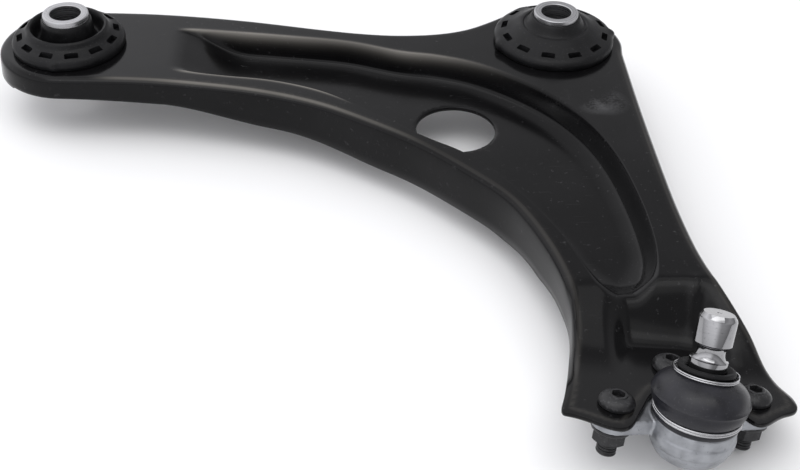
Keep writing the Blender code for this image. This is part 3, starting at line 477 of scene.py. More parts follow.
def shell_arrays(step):
    """Vertices, faces and per-vertex painted highlight value of the whole shell, as a closed sheet."""
    recess = resample(spline(RECESS_EDGE + RECESS_EDGE[:1], step)[:-1][::-1], step)
    borders = [edge_rings(step, recess)]
    borders += [collar_rings(centre) for centre in (REAR_BUSH, FRONT_BUSH)]
    borders.append(hole_rings(HOLE_PLACE, HOLE_RADIUS, 120, recess))
    for x, y in BOLT_PLACES.values():
        centre = (HOUSING @ Vector((x, y, PLATE_LEVEL))).xy[:]
        borders.append(hole_rings(centre, BOLT_HOLE, 36, recess))
    places, faces, total = [], [], 0

    def add_ring(ring):
        nonlocal total
        places.append(ring)
        total += len(ring)
        return np.arange(total - len(ring), total)

    def strip(outer, inner, flip):
        for i in range(len(outer)):
            j = (i + 1) % len(outer)
            quad = (outer[i], outer[j], inner[j], inner[i])
            faces.append(quad[::-1] if flip else quad)

    top_loops, under_loops, plan_loops = [], [], []
    for number, (rings, lip_way) in enumerate(borders):
        flip = number > 0
        top = [add_ring(place) for place, _ in rings]
        under = [add_ring(place - facing * SHEET) for place, facing in rings]
        lip_place, lip_facing = rings[0]
        lips = [top[0]]
        for angle in (36, 72, 108, 144):
            turn = math.radians(angle)
            lips.append(add_ring(lip_place - lip_facing * SHEET * (1 - math.cos(turn)) / 2
                                 + lip_way * LIP_BULGE * math.sin(turn)))
        lips.append(under[0])
        for outer, inner in zip(lips[1:], lips):
            strip(outer, inner, flip)
        for row in range(len(rings) - 1):
            strip(top[row], top[row + 1], flip)
            strip(under[row], under[row + 1], not flip)
        top_loops.append(top[-1])
        under_loops.append(under[-1])
        plan_loops.append(rings[-1][0][:, :2])

    inner = inner_plan_points(plan_loops[0], plan_loops[1:], recess, step)
    top_inner = add_ring(np.column_stack((inner, surface_height(inner, recess))))
    under_inner = add_ring(np.column_stack((inner, surface_height(inner, recess, True))))
    fixed, edges = np.vstack(plan_loops + [inner]), []
    first = 0
    for loop in plan_loops:
        edges += [(first + i, first + (i + 1) % len(loop)) for i in range(len(loop))]
        first += len(loop)
    cut = delaunay_2d_cdt([Vector(p) for p in fixed], edges, [], 0, 1e-8)
    triangles = np.array([t for t in cut[2] if len(t) == 3])
    middles = np.array([p[:] for p in cut[0]])[triangles].mean(1)
    keep = inset_in(middles, plan_loops[0]) > 0
    for hole in plan_loops[1:]:
        keep &= inset_in(middles, hole) < 0
    upper = np.concatenate(top_loops + [top_inner])
    lower = np.concatenate(under_loops + [under_inner])
    faces += [tuple(t) for t in upper[triangles[keep]]]
    faces += [tuple(t) for t in lower[triangles[keep][:, ::-1]]]
    vertices = np.vstack(places)
    return vertices, faces, highlight_values(vertices, recess)


def highlight_values(vertices, recess):
    """1 along the outer bend and the recess's rim, where a pale highlight is painted on the coating."""
    outline, _ = shell_outline(0.004)
    from_edge = inset_in(vertices[:, :2], outline)
    # Band along the outer bend, on the near side, where the painted highlight runs.
    bend = np.exp(-((from_edge - 0.0040) / 0.0011) ** 2)
    near_side = smooth((vertices[:, 0] - 0.015) / 0.02) * smooth((0.0 - vertices[:, 1]) / 0.02)
    near_side *= 1.0 - 0.85 * smooth((vertices[:, 0] - 0.10) / 0.14)
    # Band just inside the recess's rim, on the far side, where the painted highlight runs.
    rim = np.exp(-((inset_in(vertices[:, :2], recess) - 0.0001) / 0.0014) ** 2)
    far_side = smooth((vertices[:, 0] - 0.066) / 0.012) * smooth((0.30 - vertices[:, 0]) / 0.10)
    far_side *= smooth((vertices[:, 1] + 0.075) / 0.02)
    return np.maximum(bend * near_side, rim * far_side)


# ---------------------------------------------------------------- mesh helpers
def add_piece(name, mesh, material, place=None, sharp=32):
    """Link a mesh as a finished piece, with its place in its vertices."""
    mesh.transform(Matrix.Translation(ARM) @ (place or Matrix.Identity(4)))
    mesh.shade_smooth()
    mesh.set_sharp_from_angle(angle=math.radians(sharp))
    mesh.materials.clear()
    mesh.materials.append(material)
    piece = bpy.data.objects.new(name, mesh)
    bpy.context.scene.collection.objects.link(piece)
    return piece


def finish_piece(piece, body, slot, *nodes):
    """Hang a piece on the body it rides on, and hide the nodes it stands for."""
    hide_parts(*nodes)
    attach(piece, body)


def rounded(profile, radius, steps=4):
    """A closed or open outline with its corners rounded."""
    profile = np.array(profile, float)
    softened = []
    for i, corner in enumerate(profile):
        if profile[i, 0] == 0.0:
            softened.append(corner)
            continue
        before, after = profile[i - 1] - corner, profile[(i + 1) % len(profile)] - corner
        cut = min(radius, np.linalg.norm(before) * 0.45, np.linalg.norm(after) * 0.45)
        start = corner + before / np.linalg.norm(before) * cut
        end = corner + after / np.linalg.norm(after) * cut
        for step in range(steps + 1):
            t = step / steps
            softened.append(start * (1 - t) ** 2 + corner * 2 * t * (1 - t) + end * t ** 2)
    return np.array(softened)


def lathe(name, profile, steps=96, closed=True):
    """Turn an outline of (radius, height) round Z. An open one starts and ends on the axis.

    Each vertex keeps how far along the outline it lies, for turning marks.
    """
    angles = np.linspace(0.0, 2 * math.pi, steps, endpoint=False)
    vertices, rows, runs = [], [], []
    run = 0.0
    for i, (radius, height) in enumerate(profile):
        run += float(np.linalg.norm(np.subtract(profile[i], profile[i - 1]))) if i else 0.0
        first = len(vertices)
        if radius < 1e-9:
            vertices.append((0.0, 0.0, height))
        else:
            vertices += [(radius * math.cos(a), radius * math.sin(a), height) for a in angles]
        count = len(vertices) - first
        rows.append([first + k % count for k in range(steps)])
        runs += [run] * count
    pairs = list(zip(rows, rows[1:])) + ([(rows[-1], rows[0])] if closed else [])
    faces = []
    for low, high in pairs:
        for k in range(steps):
            n = (k + 1) % steps
            faces.append(tuple(dict.fromkeys((low[k], low[n], high[n], high[k]))))
    mesh = bpy.data.meshes.new(name)
    mesh.from_pydata(vertices, [], faces)
    mesh.attributes.new("run", "FLOAT", "POINT").data.foreach_set("value", runs)
    point_outwards(mesh)
    return mesh


def point_outwards(mesh):
    """Turn every face of a closed mesh to point out of it."""
    bm = bmesh.new()
    bm.from_mesh(mesh)
    bmesh.ops.recalc_face_normals(bm, faces=bm.faces)
    if bm.calc_volume(signed=True) < 0:
        bmesh.ops.reverse_faces(bm, faces=bm.faces)
    bm.to_mesh(mesh)
    bm.free()


def prism(name, outline, low, high, taper=0.0):
    """Extrude a closed plan outline from one height to another, drawn in at the top."""
    count = len(outline)
    middle = np.mean(outline, axis=0)
    drawn_in = middle + (np.array(outline) - middle) * (1.0 - taper)
    vertices = [(x, y, low) for x, y in drawn_in] + [(x, y, high) for x, y in outline]
    faces = [tuple(range(count))[::-1], tuple(range(count, 2 * count))]
    faces += [(i, (i + 1) % count, count + (i + 1) % count, count + i) for i in range(count)]
    mesh = bpy.data.meshes.new(name)
    mesh.from_pydata(vertices, [], faces)
    point_outwards(mesh)
    return mesh


def polygon(sides, radius, start=0.0):
    """Corners of a regular polygon, the first one at the angle start."""
    turn = 2 * math.pi / sides
    return [(radius * math.cos(start + turn * i), radius * math.sin(start + turn * i))
            for i in range(sides)]


def scratch_object(mesh):
    """An object that only lives while another shape is worked out from it."""
    made = bpy.data.objects.new(mesh.name, mesh)
    bpy.context.scene.collection.objects.link(made)
    return made


def evaluated_mesh(worked, *helpers):
    """The object's mesh with its modifiers applied; it and its helpers are then removed."""
    shapes = bpy.context.evaluated_depsgraph_get()
    mesh = bpy.data.meshes.new_from_object(worked.evaluated_get(shapes))
    mesh.name = worked.name
    for made in (worked, *helpers):
        bpy.data.objects.remove(made, do_unlink=True)
    return mesh


def carved(mesh, tools):
    """A mesh after a list of (operation, tool mesh) Booleans."""
    worked = scratch_object(mesh)
    helpers = []
    for operation, tool_mesh in tools:
        tool = scratch_object(tool_mesh)
        change = worked.modifiers.new(operation, "BOOLEAN")
        change.operation = operation
        change.object = tool
        helpers.append(tool)
    return evaluated_mesh(worked, *helpers)


# ---------------------------------------------------------------- geometry node trees
def node_tree(name, inputs):
    """A geometry node tree with named inputs, its group input and a way to end it."""
    tree = bpy.data.node_groups.new(name, "GeometryNodeTree")
    tree.interface.new_socket("Geometry", in_out="INPUT", socket_type="NodeSocketGeometry")
    for title, kind, default in inputs:
        socket = tree.interface.new_socket(title, in_out="INPUT", socket_type=kind)
        if default is not None:
            socket.default_value = default
    tree.interface.new_socket("Geometry", in_out="OUTPUT", socket_type="NodeSocketGeometry")
    return tree, tree.nodes.new("NodeGroupInput")


def end_tree(tree, source, geometry):
    """Realize Instances and Set Material, then the tree's output."""
    realize = tree.nodes.new("GeometryNodeRealizeInstances")
    paint = tree.nodes.new("GeometryNodeSetMaterial")
    output = tree.nodes.new("NodeGroupOutput")
    tree.links.new(geometry, realize.inputs["Geometry"])
    tree.links.new(realize.outputs["Geometry"], paint.inputs["Geometry"])
    tree.links.new(source.outputs["Material"], paint.inputs["Material"])
    tree.links.new(paint.outputs["Geometry"], output.inputs["Geometry"])


def coil_tree():
    """Round wire wound in a helix: a clamp ring's turns, or a bolt's thread."""
    tree, source = node_tree("Wound wire", [
        ("Radius", "NodeSocketFloat", 0.01), ("Wire", "NodeSocketFloat", 0.001),
        ("Turns", "NodeSocketFloat", 2.0), ("Height", "NodeSocketFloat", 0.002),
        ("Sides", "NodeSocketInt", 8), ("Material", "NodeSocketMaterial", None)])
    spiral = tree.nodes.new("GeometryNodeCurveSpiral")
    spiral.inputs["Resolution"].default_value = 72
    section = tree.nodes.new("GeometryNodeCurvePrimitiveCircle")
    sweep = tree.nodes.new("GeometryNodeCurveToMesh")
    sweep.inputs["Fill Caps"].default_value = True
    for title in ("Start Radius", "End Radius"):
        tree.links.new(source.outputs["Radius"], spiral.inputs[title])
    tree.links.new(source.outputs["Turns"], spiral.inputs["Rotations"])
    tree.links.new(source.outputs["Height"], spiral.inputs["Height"])
    tree.links.new(source.outputs["Sides"], section.inputs["Resolution"])
    tree.links.new(source.outputs["Wire"], section.inputs["Radius"])
    tree.links.new(spiral.outputs["Curve"], sweep.inputs["Curve"])
    tree.links.new(section.outputs["Curve"], sweep.inputs["Profile Curve"])
    end_tree(tree, source, sweep.outputs["Mesh"])
    return tree


def slot_tree():
    """Slots cut round a ring: one cutter, repeated on a circle."""
    tree, source = node_tree("Ring of slots", [
        ("Cutter", "NodeSocketObject", None), ("Count", "NodeSocketInt", 12),
        ("Radius", "NodeSocketFloat", 0.03), ("Material", "NodeSocketMaterial", None)])
    circle = tree.nodes.new("GeometryNodeMeshCircle")
    cutter = tree.nodes.new("GeometryNodeObjectInfo")
    place = tree.nodes.new("GeometryNodeInstanceOnPoints")
    index = tree.nodes.new("GeometryNodeInputIndex")
    turn = tree.nodes.new("ShaderNodeMath")
    turn.operation = "DIVIDE"
    whole = tree.nodes.new("ShaderNodeMath")
    whole.operation = "MULTIPLY"
    whole.inputs[1].default_value = 2 * math.pi
    spin = tree.nodes.new("ShaderNodeCombineXYZ")
    realize = tree.nodes.new("GeometryNodeRealizeInstances")
    cut = tree.nodes.new("GeometryNodeMeshBoolean")
    cut.operation = "DIFFERENCE"
    cut.solver = "EXACT"
    tree.links.new(source.outputs["Count"], circle.inputs["Vertices"])
    tree.links.new(source.outputs["Radius"], circle.inputs["Radius"])
    tree.links.new(circle.outputs["Mesh"], place.inputs["Points"])
    tree.links.new(source.outputs["Cutter"], cutter.inputs["Object"])
    tree.links.new(cutter.outputs["Geometry"], place.inputs["Instance"])
    tree.links.new(index.outputs["Index"], whole.inputs[0])
    tree.links.new(whole.outputs["Value"], turn.inputs[0])
    tree.links.new(source.outputs["Count"], turn.inputs[1])
    tree.links.new(turn.outputs["Value"], spin.inputs["Z"])
    tree.links.new(spin.outputs["Vector"], place.inputs["Rotation"])
    tree.links.new(place.outputs["Instances"], realize.inputs["Geometry"])
    tree.links.new(source.outputs["Geometry"], cut.inputs["Mesh 1"])
    tree.links.new(realize.outputs["Geometry"], cut.inputs["Mesh 2"])
    end_tree(tree, source, cut.outputs["Mesh"])
    return tree


def run_tree(mesh, tree, values, *helpers):
    """The plain mesh that a node tree makes of a mesh, with its inputs set by name."""
    worked = scratch_object(mesh)
    change = worked.modifiers.new(tree.name, "NODES")
    change.node_group = tree
    for item in tree.interface.items_tree:
        if item.in_out == "INPUT" and item.name in values:
            change[item.identifier] = values[item.name]
    return evaluated_mesh(worked, *helpers)


# ---------------------------------------------------------------- shader groups
def shader_group(name, inputs, outputs):
    """A new shader node group, with its input and output nodes."""
    group = bpy.data.node_groups.new(name, "ShaderNodeTree")
    for title, kind, default in inputs:
        socket = group.interface.new_socket(title, in_out="INPUT", socket_type=kind)
        if default is not None:
            socket.default_value = default
    for title, kind in outputs:
        group.interface.new_socket(title, in_out="OUTPUT", socket_type=kind)
    return group, group.nodes.new("NodeGroupInput"), group.nodes.new("NodeGroupOutput")


def add_node(tree, kind, values=None, **settings):
    """A shader node with its settings and its sockets' plain values."""
    made = tree.nodes.new(kind)
    for key, value in settings.items():
        setattr(made, key, value)
    for key, value in (values or {}).items():
        made.inputs[key].default_value = value
    return made


def grain_group():
    """Fine surface grain with a slower waviness under it, and a slow mottle mask."""
    group, source, output = shader_group("Surface grain", [
        ("Vector", "NodeSocketVector", None), ("Fine Scale", "NodeSocketFloat", 900.0),
        ("Wave Scale", "NodeSocketFloat", 45.0), ("Wave Share", "NodeSocketFloat", 0.5)],
        [("Height", "NodeSocketFloat"), ("Mottle", "NodeSocketFloat")])
    fine = add_node(group, "ShaderNodeTexNoise", {"Detail": 3.0, "Roughness": 0.6})
    wave = add_node(group, "ShaderNodeTexNoise", {"Detail": 2.0, "Roughness": 0.45})
    mix = add_node(group, "ShaderNodeMix", data_type="FLOAT")
    contrast = add_node(group, "ShaderNodeMapRange", {"From Min": 0.3, "From Max": 0.7})
    for noise, scale in ((fine, "Fine Scale"), (wave, "Wave Scale")):
        group.links.new(source.outputs["Vector"], noise.inputs["Vector"])
        group.links.new(source.outputs[scale], noise.inputs["Scale"])
    group.links.new(source.outputs["Wave Share"], mix.inputs["Factor"])
    group.links.new(fine.outputs["Fac"], mix.inputs["A"])
    group.links.new(wave.outputs["Fac"], mix.inputs["B"])
    group.links.new(wave.outputs["Fac"], contrast.inputs["Value"])
    group.links.new(mix.outputs["Result"], output.inputs["Height"])
    group.links.new(contrast.outputs["Result"], output.inputs["Mottle"])
    return group


def scuff_group():
    """Masks of broken specks, for chips and rubbed edges, and of thin long scratches."""
    group, source, output = shader_group("Scuffs", [
        ("Vector", "NodeSocketVector", None), ("Speck Scale", "NodeSocketFloat", 420.0),
        ("Amount", "NodeSocketFloat", 0.35)],
        [("Specks", "NodeSocketFloat"), ("Scratches", "NodeSocketFloat")])
    specks = add_node(group, "ShaderNodeTexNoise", {"Detail": 4.0, "Roughness": 0.65})
    limit = add_node(group, "ShaderNodeMath", {0: 0.78}, operation="SUBTRACT")
    edge = add_node(group, "ShaderNodeMapRange", {"To Min": 0.0, "To Max": 1.0})
    above = add_node(group, "ShaderNodeMath", {1: 0.06}, operation="ADD")
    stretch = add_node(group, "ShaderNodeMapping",
                       {"Rotation": (0.0, 0.0, 0.6), "Scale": (60.0, 1400.0, 200.0)})
    lines = add_node(group, "ShaderNodeTexNoise", {"Scale": 1.0, "Detail": 1.0})
    thin = add_node(group, "ShaderNodeMapRange", {"From Min": 0.735, "From Max": 0.77})
    group.links.new(source.outputs["Vector"], specks.inputs["Vector"])
    group.links.new(source.outputs["Speck Scale"], specks.inputs["Scale"])
    group.links.new(source.outputs["Amount"], limit.inputs[1])
    group.links.new(limit.outputs["Value"], edge.inputs["From Min"])
    group.links.new(limit.outputs["Value"], above.inputs[0])
    group.links.new(above.outputs["Value"], edge.inputs["From Max"])
    group.links.new(specks.outputs["Fac"], edge.inputs["Value"])
    group.links.new(source.outputs["Vector"], stretch.inputs["Vector"])
    group.links.new(stretch.outputs["Vector"], lines.inputs["Vector"])
    group.links.new(lines.outputs["Fac"], thin.inputs["Value"])
    group.links.new(edge.outputs["Result"], output.inputs["Specks"])
    group.links.new(thin.outputs["Result"], output.inputs["Scratches"])
    return group


def turning_group():
    """Rings left by a lathe tool, from the distance along the turned outline."""
    group, source, output = shader_group("Turning marks", [
        ("Run", "NodeSocketFloat", 0.0), ("Scale", "NodeSocketFloat", 2600.0)],
        [("Height", "NodeSocketFloat"), ("Tone", "NodeSocketFloat")])
    fine = add_node(group, "ShaderNodeTexNoise", {"Detail": 2.0}, noise_dimensions="1D")
    broad = add_node(group, "ShaderNodeTexNoise", {"Scale": 700.0, "Detail": 2.0},
                     noise_dimensions="1D")
    tone = add_node(group, "ShaderNodeMapRange", {"From Min": 0.3, "From Max": 0.7})
    group.links.new(source.outputs["Run"], fine.inputs["W"])
    group.links.new(source.outputs["Run"], broad.inputs["W"])
    group.links.new(source.outputs["Scale"], fine.inputs["Scale"])
    group.links.new(broad.outputs["Fac"], tone.inputs["Value"])
    group.links.new(fine.outputs["Fac"], output.inputs["Height"])
    group.links.new(tone.outputs["Result"], output.inputs["Tone"])
    return group


class Finish:
    """A material under construction: a Principled shader fed by the shared groups."""

    def __init__(self, name, **constants):
        self.material = bpy.data.materials.new(name)
        self.material.use_nodes = True
        self.tree = self.material.node_tree
        self.shader = self.tree.nodes["Principled BSDF"]
        for title, value in constants.items():
            self.shader.inputs[title.replace("_", " ")].default_value = value
        self.place = add_node(self.tree, "ShaderNodeTexCoord").outputs["Object"]

    def link(self, source, target):
        self.tree.links.new(source, target)

    def group(self, title, values=None, vector=True):
        made = add_node(self.tree, "ShaderNodeGroup", node_tree=bpy.data.node_groups[title])
        for key, value in (values or {}).items():
            made.inputs[key].default_value = value
        if vector:
            self.link(self.place, made.inputs["Vector"])
        return made

    def attribute(self, title):
        return add_node(self.tree, "ShaderNodeAttribute", attribute_name=title).outputs["Fac"]

    def ranged(self, value, low, high, start=0.0, end=1.0):
        """The value, spread from one range over another."""
        made = add_node(self.tree, "ShaderNodeMapRange", {
            "From Min": start, "From Max": end, "To Min": low, "To Max": high})
        self.link(value, made.inputs["Value"])
        return made.outputs["Result"]

    def maths(self, operation, first, second):
        made = add_node(self.tree, "ShaderNodeMath", operation=operation, use_clamp=True)
        for number, value in enumerate((first, second)):
            if isinstance(value, float):
                made.inputs[number].default_value = value
            else:
                self.link(value, made.inputs[number])
        return made.outputs["Value"]

    def mixed(self, factor, first, second):
        """A colour between two, each a plain colour or another node's output."""
        made = add_node(self.tree, "ShaderNodeMix", data_type="RGBA")
        self.link(factor, made.inputs["Factor"])
        for socket, value in ((made.inputs[6], first), (made.inputs[7], second)):
            if isinstance(value, tuple):
                socket.default_value = (*value, 1.0)
            else:
                self.link(value, socket)
        return made.outputs[2]

    def bump(self, height, distance, strength=1.0):
        made = add_node(self.tree, "ShaderNodeBump",
                        {"Distance": distance, "Strength": strength})
        self.link(height, made.inputs["Height"])
        self.link(made.outputs["Normal"], self.shader.inputs["Normal"])


def shade(colour, factor):
    """A colour made darker or lighter by a factor."""
    return tuple(channel * factor for channel in colour)


def coating_finish():
    """Glossy black dip coating with a pale highlight painted along its bends, and wiped dust on it."""
    made = Finish("black_coating", IOR=1.25)
    grain = made.group("Surface grain", {"Fine Scale": 700.0, "Wave Scale": 38.0,
                                         "Wave Share": 0.75})
    haze = made.group("Surface grain", {"Fine Scale": 160.0, "Wave Scale": 14.0})
    scuffs = made.group("Scuffs", {"Speck Scale": 330.0, "Amount": 0.14})
    # Painted highlight: the pale streak along the bends and the recess's rim, mottled.
    crest = made.maths("MULTIPLY", made.attribute("crest"),
                       made.ranged(haze.outputs["Mottle"], 0.20, 0.60))
    tone = made.mixed(grain.outputs["Mottle"], shade(colours().coating, 0.8),
                      shade(colours().coating, 1.35))
    chips = made.maths("MULTIPLY", scuffs.outputs["Specks"],
                       made.ranged(haze.outputs["Mottle"], 0.0, 0.10))
    marks = made.maths("ADD", chips, made.maths("MULTIPLY", scuffs.outputs["Scratches"], 0.03))
    for centre, size, strength in SMUDGES:
        distance = add_node(made.tree, "ShaderNodeVectorMath",
                            {1: Vector((*centre, FACE_Z)) + ARM}, operation="DISTANCE")
        made.link(made.place, distance.inputs[0])
        patch = made.ranged(distance.outputs["Value"], strength, 0.0, size * 0.5, size)
        marks = made.maths("ADD", marks, made.maths("MULTIPLY", patch,
                                                    made.ranged(grain.outputs["Height"], 0.0, 1.0,
                                                                0.44, 0.56)))
    tone = made.mixed(marks, tone, tuple(colours().dust))
    # Lay the painted highlight colour over the coating and its dust along that mask.
    made.link(made.mixed(crest, tone, tuple(colours().painted_highlight)), made.shader.inputs["Base Color"])
    rough = made.ranged(haze.outputs["Mottle"], 0.12, 0.22)
    made.link(made.maths("ADD", rough, made.ranged(crest, 0.0, 0.25)),
              made.shader.inputs["Roughness"])
    made.bump(grain.outputs["Height"], 0.00006, 0.25)
    return made.material


def rubber_finish(name, colour, low, high, grit, ior):
    """Moulded rubber: dark, uneven sheen, fine grain and a trace of dust."""
    made = Finish(name, IOR=ior)
    grain = made.group("Surface grain", {"Fine Scale": grit, "Wave Scale": 110.0,
                                         "Wave Share": 0.35})
    scuffs = made.group("Scuffs", {"Speck Scale": 900.0, "Amount": 0.17})
    tone = made.mixed(grain.outputs["Mottle"], shade(colour, 0.75), shade(colour, 1.5))
    dusty = made.maths("MULTIPLY", scuffs.outputs["Specks"], 0.07)
    made.link(made.mixed(dusty, tone, tuple(colours().dust)), made.shader.inputs["Base Color"])
    made.link(made.ranged(grain.outputs["Mottle"], low, high), made.shader.inputs["Roughness"])
    made.bump(grain.outputs["Height"], 0.00010, 0.5)
    return made.material


def turned_steel_finish(name, colour, low, high, marks, depth):
    """Turned bright steel, with rings from the tool and small dark flecks."""
    made = Finish(name, Metallic=1.0)
    turning = made.group("Turning marks", {"Scale": marks}, vector=False)
    made.link(made.attribute("run"), turning.inputs["Run"])
    scuffs = made.group("Scuffs", {"Speck Scale": 650.0, "Amount": 0.17})
    tone = made.mixed(turning.outputs["Tone"], shade(colour, 1.0 - 0.28 * depth),
                      shade(colour, 1.0 + 0.18 * depth))
    fleck = made.maths("MULTIPLY", scuffs.outputs["Specks"], 0.5)
    made.link(made.mixed(fleck, tone, shade(colour, 0.35)), made.shader.inputs["Base Color"])
    rough = made.ranged(turning.outputs["Tone"], low, high)
    made.link(made.maths("ADD", rough, made.ranged(fleck, 0.0, 0.2)),
              made.shader.inputs["Roughness"])
    made.bump(turning.outputs["Height"], 0.000012, depth)
    return made.material


def casting_finish():
    """Sand cast aluminium: granular, pitted and slightly stained."""
    made = Finish("cast_aluminium", Metallic=1.0)
    grain = made.group("Surface grain", {"Fine Scale": 1100.0, "Wave Scale": 160.0,
                                         "Wave Share": 0.3})
    scuffs = made.group("Scuffs", {"Speck Scale": 520.0, "Amount": 0.155})
    tone = made.mixed(grain.outputs["Mottle"], shade(colours().casting, 0.72),
                      shade(colours().casting, 1.12))
    made.link(made.mixed(made.maths("MULTIPLY", scuffs.outputs["Specks"], 0.45), tone,
                         shade(colours().casting, 0.25)), made.shader.inputs["Base Color"])
    made.link(made.ranged(grain.outputs["Mottle"], 0.36, 0.52), made.shader.inputs["Roughness"])
    dented = made.maths("SUBTRACT", grain.outputs["Height"],
                        made.ranged(scuffs.outputs["Specks"], 0.0, 0.5))
    made.bump(dented, 0.00018, 0.5)
    return made.material


def black_steel_finish(name, colour, low, high):
    """Blackened steel whose worn spots shine through."""
    made = Finish(name, Metallic=0.2, IOR=1.4)
    grain = made.group("Surface grain", {"Fine Scale": 1300.0, "Wave Scale": 210.0,
                                         "Wave Share": 0.35})
    scuffs = made.group("Scuffs", {"Speck Scale": 750.0, "Amount": 0.22})
    tone = made.mixed(grain.outputs["Mottle"], shade(colour, 0.7), shade(colour, 1.5))
    made.link(made.mixed(made.maths("MULTIPLY", scuffs.outputs["Specks"], 0.12), tone,
                         (0.24, 0.24, 0.25)), made.shader.inputs["Base Color"])
    made.link(made.ranged(grain.outputs["Mottle"], low, high), made.shader.inputs["Roughness"])
    made.bump(grain.outputs["Height"], 0.00006, 0.5)
    return made.material


def plastic_finish():
    """Natural bearing plastic with faint flow marks."""
    made = Finish("bearing_plastic", IOR=1.48)
    grain = made.group("Surface grain", {"Fine Scale": 600.0, "Wave Scale": 90.0})
    made.link(made.mixed(grain.outputs["Mottle"], (0.62, 0.60, 0.54), (0.76, 0.75, 0.70)),
              made.shader.inputs["Base Color"])
    made.link(made.ranged(grain.outputs["Mottle"], 0.32, 0.45), made.shader.inputs["Roughness"])
    made.bump(grain.outputs["Height"], 0.00004, 0.4)
    return made.material


# Wiped dust on the far face: its middle, its reach and its strength.
SMUDGES = [((0.334, -0.073), 0.016, 0.10), ((0.310, -0.064), 0.012, 0.07),
           ((0.326, -0.078), 0.010, 0.06)]
FINISHES = {}


def make_finishes():
    """Build the shared groups and every material once."""
    if FINISHES:
        return
    grain_group()
    scuff_group()
    turning_group()
    FINISHES.update({
        "coating": coating_finish(),
        "bush_rubber": rubber_finish("bush_rubber", colours().rubber, 0.34, 0.55, 900.0, 1.28),
        "collar_rubber": rubber_finish("collar_rubber", colours().rubber, 0.45, 0.65, 1200.0, 1.28),
        "boot_rubber": rubber_finish("boot_rubber", colours().boot, 0.26, 0.42, 1500.0, 1.36),
        "sleeve_steel": turned_steel_finish("sleeve_steel", (0.40, 0.40, 0.41), 0.24, 0.38,
                                            2200.0, 0.5),
        # The stud's steel is a darker copy of the bright steel: painted shade for the dark surroundings
        # it reflects.
        "polished_steel": turned_steel_finish("polished_steel", shade(colours().steel, 0.72), 0.04, 0.10,
                                              3200.0, 0.12),
        "ring_steel": turned_steel_finish("ring_steel", colours().steel, 0.16, 0.26, 1800.0,
                                          0.3),
        "cast_aluminium": casting_finish(),
        "cage_steel": black_steel_finish("cage_steel", (0.030, 0.030, 0.031), 0.40, 0.55),
        "black_fastener": black_steel_finish("black_fastener", (0.016, 0.016, 0.017), 0.28, 0.45),
        "bearing_plastic": plastic_finish(),
    })


# ---------------------------------------------------------------- the pieces
def make_arm_shell():
    """The pressed arm, with the painted highlight values that its coating reads."""
    vertices, faces, crest = shell_arrays(sizes().shell_step)
    mesh = bpy.data.meshes.new("pressed_arm")
    mesh.from_pydata(vertices.tolist(), [], faces)
    mesh.attributes.new("crest", "FLOAT", "POINT").data.foreach_set("value", crest)
    piece = add_piece("pressed_arm", mesh, FINISHES["coating"], sharp=60)
    finish_piece(piece, "arm", "coating", "arm_shell")


CAGE_INNER = 0.0277
CAGE_OUTER = COLLAR_BORE - 0.0003
CAGE_FOOT = 0.0225
FLANGE_SEAT = FACE_Z + 0.0021  # top of the cage's flange, where the rubber's flange lies
RUBBER_BORE = SLEEVE_RADIUS + 0.0002
SLOT_FLOOR = FACE_Z + 0.0050
SLOT_COUNT = 12


def sleeve_mesh(name):
    """A bush's inner steel sleeve."""
    profile = [(SLEEVE_BORE, SLEEVE_FOOT), (SLEEVE_RADIUS, SLEEVE_FOOT),
               (SLEEVE_RADIUS, SLEEVE_TOP), (SLEEVE_BORE, SLEEVE_TOP)]
    return lathe(name, rounded(profile, 0.0007))


def cage_mesh(name, flange_radius):
    """A bush's outer steel cage and its flange."""
    profile = [(CAGE_INNER, CAGE_FOOT), (CAGE_OUTER, CAGE_FOOT),
               (CAGE_OUTER, FACE_Z + 0.0003), (flange_radius, FACE_Z + 0.0003),
               (flange_radius, FACE_Z + 0.0018), (CAGE_INNER, FACE_Z + 0.0018)]
    return lathe(name, rounded(profile, 0.0006))


def lower_rubber_mesh(name):
    """The rubber below the sleeve's middle, drawn in towards the sleeve."""
    outline = [(RUBBER_BORE, SLEEVE_MIDDLE), (RUBBER_BORE, 0.0182), (0.0165, 0.0178),
               (0.0188, 0.0205), (0.0222, 0.0245), (0.0262, 0.0275), (0.0274, 0.0310),
               (0.0274, SLEEVE_MIDDLE)]
    return lathe(name, rounded(outline, 0.0016))


REAR_CROWN = [(0.0335, 0.0003), (0.0350, 0.0003), (0.0355, 0.0022), (0.0353, 0.0044),
              (0.0335, 0.0068), (0.0300, 0.0082), (0.0270, 0.0102), (0.0256, 0.0126),
              (0.0244, 0.0137), (0.0232, 0.0134), (0.0220, 0.0112), (0.0208, 0.0068),
              (0.0194, 0.0046), (0.0180, 0.0046), (0.0170, 0.0068), (0.0163, 0.0120),
              (0.0158, 0.0165), (0.0152, 0.0184), (RUBBER_BORE, 0.0186)]
FRONT_CROWN = [(0.0366, 0.0003), (0.0382, 0.0003), (0.0389, 0.0020), (0.0387, 0.0044),
               (0.0370, 0.0066), (0.0335, 0.0080), (0.0310, 0.0090), (0.0275, 0.0107),
               (0.0240, 0.0126), (0.0222, 0.0134), (0.0210, 0.0135), (0.0202, 0.0129),
               (0.0195, 0.0131), (0.0182, 0.0146), (0.0170, 0.0166), (0.0160, 0.0184),
               (0.0154, 0.0190), (RUBBER_BORE, 0.0191)]


